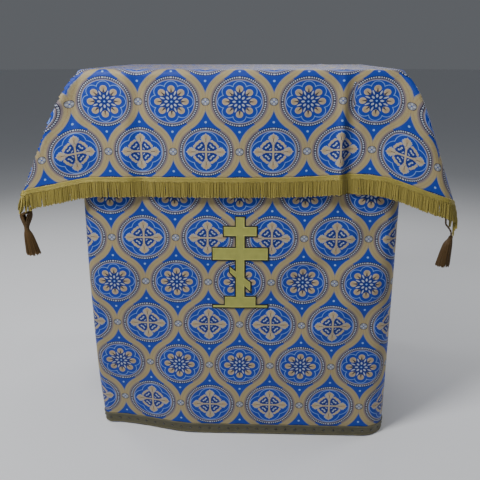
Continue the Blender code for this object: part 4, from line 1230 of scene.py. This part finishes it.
GALLOON_PROFILE = ((0.0, 0.0004), (1.0, 0.0004), (1.0, 0.0016), (0.965, 0.0024), (0.90, 0.0024),
                   (0.865, 0.0015), (0.135, 0.0015), (0.10, 0.0024), (0.035, 0.0024), (0.0, 0.0016))


def galloon_dot(number, at, middle, distance, ring, out):
    """One raised oval dot, at a distance round the galloon."""
    angles = np.linspace(0, 2 * math.pi, DOT_SIDES, endpoint=False)
    rings = []
    for size, lift in DOT_RINGS:
        places = at + DOT_HALF_LENGTH * size * np.cos(angles)
        xy = [np.interp(places, distance, ring[:, axis]) + lift * np.interp(places, distance, out[:, axis])
              for axis in range(2)]
        rings.append(np.column_stack([*xy, middle + DOT_HALF_HEIGHT * size * np.sin(angles)]))
    faces, _ = grid_faces(len(DOT_RINGS), DOT_SIDES, True)
    last = (len(DOT_RINGS) - 1) * DOT_SIDES
    face_list = faces.tolist() + [[last + side for side in range(DOT_SIDES)], list(range(DOT_SIDES))[::-1]]
    uv = np.tile([0.35 + 0.01 * number, 0.004], (len(faces) * 4 + 2 * DOT_SIDES, 1))
    return np.concatenate(rings), face_list, uv


def make_hem_braid():
    """The galloon round the foot of the under-cover, with raised edges and a row of dark oval dots."""
    trim, yarn = bpy.context.scene.altar_trim, bpy.context.scene.altar_brocade
    steps = under_steps(yarn.cell * UNDER_CELL_SHARE)
    bottom = UNDER_LEVELS[-1].height + BRAID_BOTTOM
    loops, flats = [], []
    for share, lift in GALLOON_PROFILE:
        up = share * trim.braid_height
        plan, normals = under_outline(bottom + up, steps)
        loops.append(np.column_stack([plan + normals * lift, np.full(len(plan), bottom + up)]))
        flats.append(np.column_stack([wall_distance(plan), np.full(len(plan) + 1, up)]))
    middle = bottom + trim.braid_height / 2
    plan, normals = under_outline(middle, steps)
    distance = wall_distance(plan)
    ring, out = np.concatenate([plan, plan[:1]]), np.concatenate([normals, normals[:1]])
    parts = [band_round(loops, np.array(flats), True)]
    count = round((distance[-1] - distance[0]) / trim.dot_pitch)
    pitch = (distance[-1] - distance[0]) / count
    for dot in range(count):
        parts.append(galloon_dot(dot, distance[0] + (dot + 0.5) * pitch, middle, distance, ring, out))
    points, faces, flats, counts = join_parts(parts)
    kinds = [0] * counts[0] + [1] * sum(counts[1:])
    piece = place_piece("hem_galloon", points, faces, flats,
                        [finish_named("galloon_weave"), finish_named("dark_dot_yarn")], kinds)
    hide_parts("hem_braid")
    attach(piece, "root")


def cross_outline():
    """Points round the three-bar cross, anticlockwise from the foot's right end."""
    right, left = [], []
    for bar in CROSS_BARS:
        reach = (bar.half_width - CROSS_STEM) / (2 * bar.half_width)
        bottom_rise = (bar.right_bottom - bar.left_bottom) * reach
        top_rise = (bar.right_top - bar.left_top) * reach
        right.extend(((CROSS_STEM, bar.right_bottom - bottom_rise), (bar.half_width, bar.right_bottom),
                      (bar.half_width, bar.right_top), (CROSS_STEM, bar.right_top - top_rise)))
        left.extend(((-CROSS_STEM, bar.left_bottom + bottom_rise), (-bar.half_width, bar.left_bottom),
                     (-bar.half_width, bar.left_top), (-CROSS_STEM, bar.left_top + top_rise)))
    foot, step = CROSS_BARS[0], CROSS_BARS[1]
    right = [(foot.half_width, foot.right_bottom), (foot.half_width, foot.right_top),
             (step.half_width, step.right_bottom)] + right[6:] + [(CROSS_STEM, CROSS_TOP)]
    left = [(-foot.half_width, foot.left_bottom), (-foot.half_width, foot.left_top),
            (-step.half_width, step.left_bottom)] + left[6:] + [(-CROSS_STEM, CROSS_TOP)]
    return [Vector(point) for point in right + left[::-1]]


def inset(outline, distance):
    """The outline moved inward by a distance, with mitred corners."""
    moved = []
    for index, point in enumerate(outline):
        arrive = (point - outline[index - 1]).normalized()
        leave = (outline[(index + 1) % len(outline)] - point).normalized()
        inner_arrive, inner_leave = Vector((-arrive.y, arrive.x)), Vector((-leave.y, leave.x))
        mitre = (inner_arrive + inner_leave).normalized()
        moved.append(point + mitre * (distance / max(mitre.dot(inner_leave), 0.3)))
    return moved


def on_front(points, lift):
    """Points of the cross's drawing on the under-cover's front, lifted off it."""
    made = []
    for point, up in zip(points, np.broadcast_to(lift, len(points))):
        level = row_at(tuple(reversed(UNDER_LEVELS)), point.y)
        creases = [crease[1:] for crease in UNDER_CREASES if crease.wall == "front"]
        push = soft_push(creases, np.array([CROSS_ACROSS + point.x]), np.array([point.y]))[0]
        made.append((CROSS_ACROSS + point.x, -UNDER_HALF[1] - level.front - push - up, point.y))
    return np.array(made)


CORD_PROFILE = ((0.0000, 0.0006), (0.0002, 0.0016), (0.0010, 0.0023), (0.0020, 0.0023), (0.0028, 0.0016),
                (0.0030, 0.0006))
GOLD_PROFILE = ((0.0031, 0.0008), (0.0033, 0.0019), (0.0040, 0.0023), (0.0050, 0.0021), (0.0056, 0.0017))


def ring_band(profile, outline):
    """A band along the cross's outline, its cross-section given as (inset, lift)."""
    loops, flats = [], []
    travelled = None
    for distance, lift in profile:
        loop = subdivided_like(outline, distance)
        if travelled is None:
            closed = loop + loop[:1]
            travelled = np.concatenate([[0], np.cumsum([(b - a).length for a, b in zip(closed, closed[1:])])])
        loops.append(on_front(loop, lift))
        flats.append(np.column_stack([travelled, np.full(len(travelled), distance)]))
    return loops, np.array(flats)


def subdivided_like(outline, distance):
    """The outline moved inward, cut into as many points along each run as the outline itself."""
    moved = inset(outline, distance)
    made = []
    for index, point in enumerate(outline):
        following = outline[(index + 1) % len(outline)]
        count = max(1, round((following - point).length / CROSS_CELL))
        first, second = moved[index], moved[(index + 1) % len(outline)]
        made.extend(first.lerp(second, part / count) for part in range(count))
    return made


def make_cross():
    """The gold cross and the black cord round it."""
    outline = cross_outline()
    loops, flats = ring_band(CORD_PROFILE, outline)
    points, faces, uv = band_round(loops, flats, True)
    cord = place_piece("cross_black_cord", points, faces, uv, [finish_named("black_cord_yarn")])
    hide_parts("cross_edging")
    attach(cord, "root")

    loops, flats = ring_band(GOLD_PROFILE, outline)
    count = len(loops[0])
    faces, _ = grid_faces(len(loops), count, True)
    points = np.concatenate(loops)
    inner = [len(points) - count + index for index in range(count)]
    drawn = points[:, [0, 2]]
    uv = np.concatenate([drawn[faces.ravel()], drawn[inner], drawn[:count][::-1]])
    face_list = faces.tolist() + [inner, list(range(count))[::-1]]
    # The raised edge band of the gold cloth takes a lighter gold than its middle: a painted highlight along
    # the edge
    kinds = [1] * len(faces) + [0, 0]
    gold = place_piece("cross_gold_cloth", points, face_list, uv,
                       [finish_named("gold_cloth_weave"), finish_named("gold_edge_cord")], kinds)
    gold.data.polygons.foreach_set("use_smooth", np.array(kinds, bool))
    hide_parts("cross_applique")
    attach(gold, "root")


HEADING_PROFILE = ((-0.0028, 0.0003), (0.0112, 0.0003), (0.0114, 0.0014), (0.0102, 0.0024), (0.0088, 0.0016),
                   (0.0072, 0.0023), (0.0056, 0.0015), (0.0040, 0.0023), (0.0022, 0.0015), (0.0006, 0.0023),
                   (-0.0012, 0.0022), (-0.0026, 0.0014))


def hem_lines(cell):
    """For each side of the over-cover: hem points, hanging directions and outward directions along it."""
    points, _, normals = over_grid(cell)
    rows = {
        "front": (points[0], points[4], normals[0]),
        "right": (points[:, -1], points[:, -5], normals[:, -1]),
        "back": (points[-1, ::-1], points[-5, ::-1], normals[-1, ::-1]),
        "left": (points[::-1, 0], points[::-1, 4], normals[::-1, 0]),
    }
    lines = {}
    for name, (hem, above, outward) in rows.items():
        hang = hem - above
        hang /= np.linalg.norm(hang, axis=1, keepdims=True)
        travelled = np.concatenate([[0], np.cumsum(np.linalg.norm(np.diff(hem, axis=0), axis=1))])
        lines[name] = (travelled, hem, hang, outward)
    return lines


def along_hem(line, distances):
    """Hem points and directions at distances along it."""
    travelled, hem, hang, outward = line
    picked = [np.stack([np.interp(distances, travelled, part[:, axis]) for axis in range(3)], axis=1)
              for part in (hem, hang, outward)]
    for part in picked[1:]:
        part /= np.linalg.norm(part, axis=1, keepdims=True)
    return picked


def fall_directions(hang, turn):
    """Directions between straight down, at a turn of 0, and the cloth's own, at a turn of 1."""
    fall = hang * turn + np.array([0.0, 0.0, turn - 1])
    return fall / np.linalg.norm(fall, axis=1, keepdims=True)


def strand_paths(name, line, layer, chance):
    """Paths of one of the fringe's two layers of strands, (strand, step, xyz)."""
    trim = bpy.context.scene.altar_trim
    total = line[0][-1]
    count = round(total / trim.strand_pitch)
    shifts = [chance.uniform(-STRAND_SHIFT, STRAND_SHIFT) for _ in range(count)]
    starts = (np.arange(count) + 0.5 + 0.5 * layer + np.array(shifts)) / (count + 1) * total
    hem, hang, outward = along_hem(line, starts)
    fall = fall_directions(hang, STRAND_TURN)
    beside = np.cross(fall, outward)
    shares = np.linspace(0, 1, 11)
    paths = np.zeros((count, len(shares), 3))
    at_start, at_end = BUNCHES[name]
    for index in range(count):
        reach = trim.strand + STRAND_ROOT + chance.uniform(*STRAND_SPREAD)
        near_start = max(1 - starts[index] / BUNCH_REACH, 0.0)
        near_end = max(1 - (total - starts[index]) / BUNCH_REACH, 0.0)
        reach += (at_start * near_start + at_end * near_end) * chance.uniform(0.5, 1.0)
        loose = 1 + BUNCH_LOOSE * (near_start + near_end)
        lean, sway = chance.gauss(0, STRAND_LEAN) * loose, chance.gauss(0, STRAND_SWAY) * loose
        depth = chance.uniform(*STRAND_DEPTH) - LAYER_GAP * layer
        for step, share in enumerate(shares):
            paths[index, step] = (hem[index] + fall[index] * (STRAND_START + reach * share)
                                  + beside[index] * (lean * reach * share + sway * math.sin(3 * share))
                                  + outward[index] * (depth + STRAND_BOW * math.sin(3.1 * share)))
    return paths


def make_fringe(name, line, seed):
    """Heading and two layers of twisted strands along one side's hem."""
    chance = random.Random(seed)
    total = line[0][-1]
    distances = np.linspace(0, total, round(total / HEADING_CELL))
    hem, hang, outward = along_hem(line, distances)
    fall = fall_directions(hang, HEADING_TURN)
    loops = [hem + fall * drop + outward * lift for drop, lift in HEADING_PROFILE]
    flats = [np.column_stack([distances, np.full(len(distances), drop)]) for drop, _ in HEADING_PROFILE]
    parts = [band_round(loops, np.array(flats), False)]
    for layer in range(2):
        paths = strand_paths(name, line, layer, chance)
        widths = np.full(paths.shape[:2], STRAND_RADIUS)
        widths[:, -1] = STRAND_END_RADIUS
        phase = np.array([chance.uniform(0, 2 * math.pi) for _ in paths])
        parts.append(tubes(paths, widths, widths * 0.8, 6, 0.22, 2 * math.pi / STRAND_PLY, phase))
    points, faces, uv, counts = join_parts(parts)
    piece = place_piece("gold_fringe_" + name, points, faces, uv,
                        [finish_named("gold_heading"), finish_named("gold_strands")],
                        [0] * counts[0] + [1] * (counts[1] + counts[2]))
    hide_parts("fringe_" + name)
    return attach(piece, "root")


def make_tassel(name, corner, seed):
    """A cord, loose yarns gathered by a tie, and the skirt below it."""
    trim = bpy.context.scene.altar_trim
    tassel = TASSELS[name]
    chance = random.Random(seed)
    inward = -math.copysign(1.0, corner[0])
    behind = -math.copysign(TASSEL_BEHIND, corner[1])
    sampled = np.linspace(tassel.rings[0].drop, tassel.rings[-1].drop, OUTLINE_STEPS)
    outline = [row_at(tassel.rings, drop) for drop in sampled]
    drops, ring_widths, ring_depths, shifts = (np.array(column) for column in zip(*outline))

    def centre(heights):
        """Points of the tassel's middle line at distances down from the cloth's corner."""
        across = corner[0] + inward * np.interp(heights, drops, shifts)
        return np.stack([across, np.full(heights.shape, corner[1] + behind), corner[2] - heights], axis=-1)

    paths = np.zeros((trim.yarns, YARN_STEPS, 3))
    for index in range(trim.yarns):
        angle = index * TURN_OF_YARNS + chance.uniform(-0.1, 0.1)
        share = YARN_INNER + (YARN_OUTER - YARN_INNER) * math.sqrt((index + 0.5) / trim.yarns)
        low = drops[-1] + chance.uniform(*YARN_ENDS)
        heights = np.linspace(tassel.yarn_drop + chance.uniform(*YARN_STARTS), low, YARN_STEPS)
        across = np.full(YARN_STEPS, math.cos(angle))
        if tassel.parted:
            parted = np.clip((tassel.tie_drop - YARN_PARTING_END - heights) / YARN_PARTING, 0, 1)
            apart = math.copysign(max(abs(across[0]), YARN_APART), across[0])
            across = across * (1 - parted) + apart * parted
        paths[index] = centre(heights)
        paths[index, :, 0] += np.interp(heights, drops, ring_widths) * share * across
        paths[index, :, 1] += np.interp(heights, drops, ring_depths) * share * math.sin(angle)
    width = np.full((trim.yarns, YARN_STEPS), YARN_RADIUS)
    yarns = tubes(paths, width, width, YARN_SIDES)

    cord_path = centre(np.linspace(0.0, tassel.yarn_drop + TASSEL_CORD_TAIL, TASSEL_CORD_STEPS))[None]
    cord_width = np.full(cord_path.shape[:2], TASSEL_CORD_RADIUS)
    cord = tubes(cord_path, cord_width, cord_width, 8, 0.2, 2 * math.pi / TASSEL_CORD_PLY)

    turns = np.linspace(0, TIE_TURNS, TIE_TURN_STEPS * TIE_TURNS)
    tie_drops = tassel.tie_drop + TIE_PITCH * (turns - TIE_TURNS / 2)
    radius = np.interp(tie_drops, drops, ring_widths) + TIE_LIFT
    wrap = centre(tie_drops)
    wrap[:, 0] += radius * np.cos(2 * math.pi * turns)
    wrap[:, 1] += radius * np.sin(2 * math.pi * turns)
    wrap_width = np.full((1, len(turns)), TIE_RADIUS)
    tie = tubes(wrap[None], wrap_width, wrap_width, YARN_SIDES)
    points, faces, uv, _ = join_parts([yarns, cord, tie])
    piece = place_piece("yarn_tassel_" + name, points, faces, uv, [finish_named("tassel_yarn")])
    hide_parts("tassel_" + name)
    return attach(piece, "root")


def make_trims():
    """Four fringes and four tassels."""
    lines = hem_lines(bpy.context.scene.altar_brocade.cell)
    made = []
    for seed, side in enumerate(over_sides()):
        made.append(make_fringe(side.name, lines[side.name], seed + 11))
        made.append(make_tassel(side.end, lines[side.name][1][-1], seed + 31))
    return made


def darker(colour, share):
    return tuple(value * share for value in colour)


def finish_named(name):
    """The material of that name, made the first time that it is asked for."""
    found = bpy.data.materials.get(name)
    if found is not None:
        return found
    trim = bpy.context.scene.altar_trim
    if name == "blue_brocade":
        return brocade_finish()
    if name == "galloon_weave":
        return galloon_finish()
    if name == "dark_dot_yarn":
        return woven_finish(name, darker(trim.galloon, 0.22), darker(trim.galloon, 0.1), 0.0009)
    if name == "gold_cloth_weave":
        return woven_finish(name, trim.cross, darker(trim.cross, 0.5), 0.0016, 0.42, 0.2)
    # A lighter gold for the raised edge of the cross's gold cloth: a painted highlight along the edge
    if name == "gold_edge_cord":
        return woven_finish(name, darker(trim.cross, 1.25), darker(trim.cross, 0.6), 0.0016, 0.42, 0.2)
    if name == "black_cord_yarn":
        return woven_finish(name, trim.cord, darker(trim.cord, 0.4), 0.0014, 0.6)
    if name == "gold_heading":
        dark = darker(trim.bright_gold, 0.45)
        return woven_finish(name, trim.bright_gold, dark, 0.0018, 0.42, 0.25, 0.0006)
    if name == "gold_strands":
        return strand_finish(name, trim.gold, darker(trim.gold, 0.35), trim.bright_gold)
    return strand_finish(name, trim.tassel, darker(trim.tassel, 0.4), darker(trim.tassel, 1.6), 0.5, 0.1)


def aim(thing, place, target):
    thing.location = place
    thing.rotation_mode = "QUATERNION"
    thing.rotation_quaternion = (Vector(target) - Vector(place)).to_track_quat("-Z", "Y")


def soft_light(name, place, target, size, power):
    lamp = bpy.data.lights.new(name, "AREA")
    lamp.shape = "DISK"
    lamp.size = size
    lamp.energy = power
    light = bpy.data.objects.new(name, lamp)
    bpy.context.scene.collection.objects.link(light)
    aim(light, place, target)
    return light


def make_stage():
    """Floor, surround, lights and the camera at the photograph's angle."""
    stage = bpy.context.scene.altar_stage
    mesh = bpy.data.meshes.new("floor")
    angles = [2 * math.pi * side / FLOOR_SIDES for side in range(FLOOR_SIDES)]
    ring = [(FLOOR_RADIUS * math.cos(angle), FLOOR_RADIUS * math.sin(angle), 0.0) for angle in angles]
    mesh.from_pydata(ring, [], [list(range(FLOOR_SIDES))])
    mesh.materials.append(floor_finish())
    floor = bpy.data.objects.new("floor", mesh)
    bpy.context.scene.collection.objects.link(floor)

    world = bpy.data.worlds.new("surround")
    world.use_nodes = True
    world.node_tree.nodes["Background"].inputs[0].default_value = (*stage.sky, 1)
    world.node_tree.nodes["Background"].inputs[1].default_value = stage.sky_strength
    bpy.context.scene.world = world

    for lamp in LAMPS:
        soft_light(lamp.name, lamp.place, lamp.target, lamp.size, getattr(stage, lamp.power))

    lens = bpy.data.cameras.new("view")
    lens.lens = stage.lens
    lens.sensor_width = 36.0
    lens.clip_end = 100.0
    camera = bpy.data.objects.new("view", lens)
    bpy.context.scene.collection.objects.link(camera)
    place = Vector(CAMERA_PLACE) + TABLE_MIDDLE
    level = math.cos(CAMERA_DOWN)
    ahead = Vector((math.sin(CAMERA_TURN) * level, math.cos(CAMERA_TURN) * level, -math.sin(CAMERA_DOWN)))
    aim(camera, place, place + ahead)
    bpy.context.scene.camera = camera


# Operators: one for each piece or group of like pieces, and one for the stage


class FinishTable(bpy.types.Operator):
    """Give the table's boards their wood"""
    bl_idname = "altar.finish_table"
    bl_label = "Table finish"

    def execute(self, context):
        material = wood_finish()
        for name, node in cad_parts.items():
            if name.startswith("table_"):
                node.data.materials.clear()
                node.data.materials.append(material)
        return {"FINISHED"}


class MakeUnderCover(bpy.types.Operator):
    """Drape the floor-length brocade cover"""
    bl_idname = "altar.make_under_cover"
    bl_label = "Under-cover"

    def execute(self, context):
        make_under_cover()
        return {"FINISHED"}


class MakeOverCover(bpy.types.Operator):
    """Drape the square brocade cloth that lies on top"""
    bl_idname = "altar.make_over_cover"
    bl_label = "Over-cover"

    def execute(self, context):
        make_over_cover()
        return {"FINISHED"}


class MakeGalloon(bpy.types.Operator):
    """Sew the galloon round the foot of the under-cover"""
    bl_idname = "altar.make_galloon"
    bl_label = "Hem galloon"

    def execute(self, context):
        make_hem_braid()
        return {"FINISHED"}


class MakeCross(bpy.types.Operator):
    """Sew the gold cross with its black cord on the front"""
    bl_idname = "altar.make_cross"
    bl_label = "Cross"

    def execute(self, context):
        make_cross()
        return {"FINISHED"}


class MakeTrims(bpy.types.Operator):
    """Hang the fringes and the corner tassels on the over-cover"""
    bl_idname = "altar.make_trims"
    bl_label = "Fringes and tassels"

    def execute(self, context):
        made = make_trims()
        return {"FINISHED"}


class SetStage(bpy.types.Operator):
    """Add the floor, the surround, the lights and the camera"""
    bl_idname = "altar.set_stage"
    bl_label = "Stage"

    def execute(self, context):
        make_stage()
        return {"FINISHED"}


class AltarPanel(bpy.types.Panel):
    """Lists what the altar cloth set is made of"""
    bl_idname = "VIEW3D_PT_altar_cloth"
    bl_label = "Altar Cloth"
    bl_space_type = "VIEW_3D"
    bl_region_type = "UI"
    bl_category = "Altar Cloth"

    def draw(self, context):
        layout = self.layout
        scene = context.scene
        for operator in OPERATORS:
            layout.operator(operator.bl_idname)
        for settings in (scene.altar_brocade, scene.altar_trim, scene.altar_stage):
            box = layout.box()
            for name in settings.bl_rna.properties.keys():
                if name not in ("rna_type", "name"):
                    box.prop(settings, name)


OPERATORS = (FinishTable, MakeUnderCover, MakeOverCover, MakeGalloon, MakeCross, MakeTrims, SetStage)
SETTINGS = {"altar_brocade": BrocadeSettings, "altar_trim": TrimSettings, "altar_stage": StageSettings}


def register():
    for settings in SETTINGS.values():
        bpy.utils.register_class(settings)
    for name, settings in SETTINGS.items():
        setattr(bpy.types.Scene, name, PointerProperty(type=settings))
    for operator in OPERATORS:
        bpy.utils.register_class(operator)
    bpy.utils.register_class(AltarPanel)


def unregister():
    bpy.utils.unregister_class(AltarPanel)
    for operator in reversed(OPERATORS):
        bpy.utils.unregister_class(operator)
    for name, settings in SETTINGS.items():
        delattr(bpy.types.Scene, name)
        bpy.utils.unregister_class(settings)


def main():
    register()
    bpy.ops.altar.finish_table()
    bpy.ops.altar.make_under_cover()
    bpy.ops.altar.make_over_cover()
    bpy.ops.altar.make_galloon()
    bpy.ops.altar.make_cross()
    bpy.ops.altar.make_trims()
    bpy.ops.altar.set_stage()


if __name__ == "__main__":
    main()
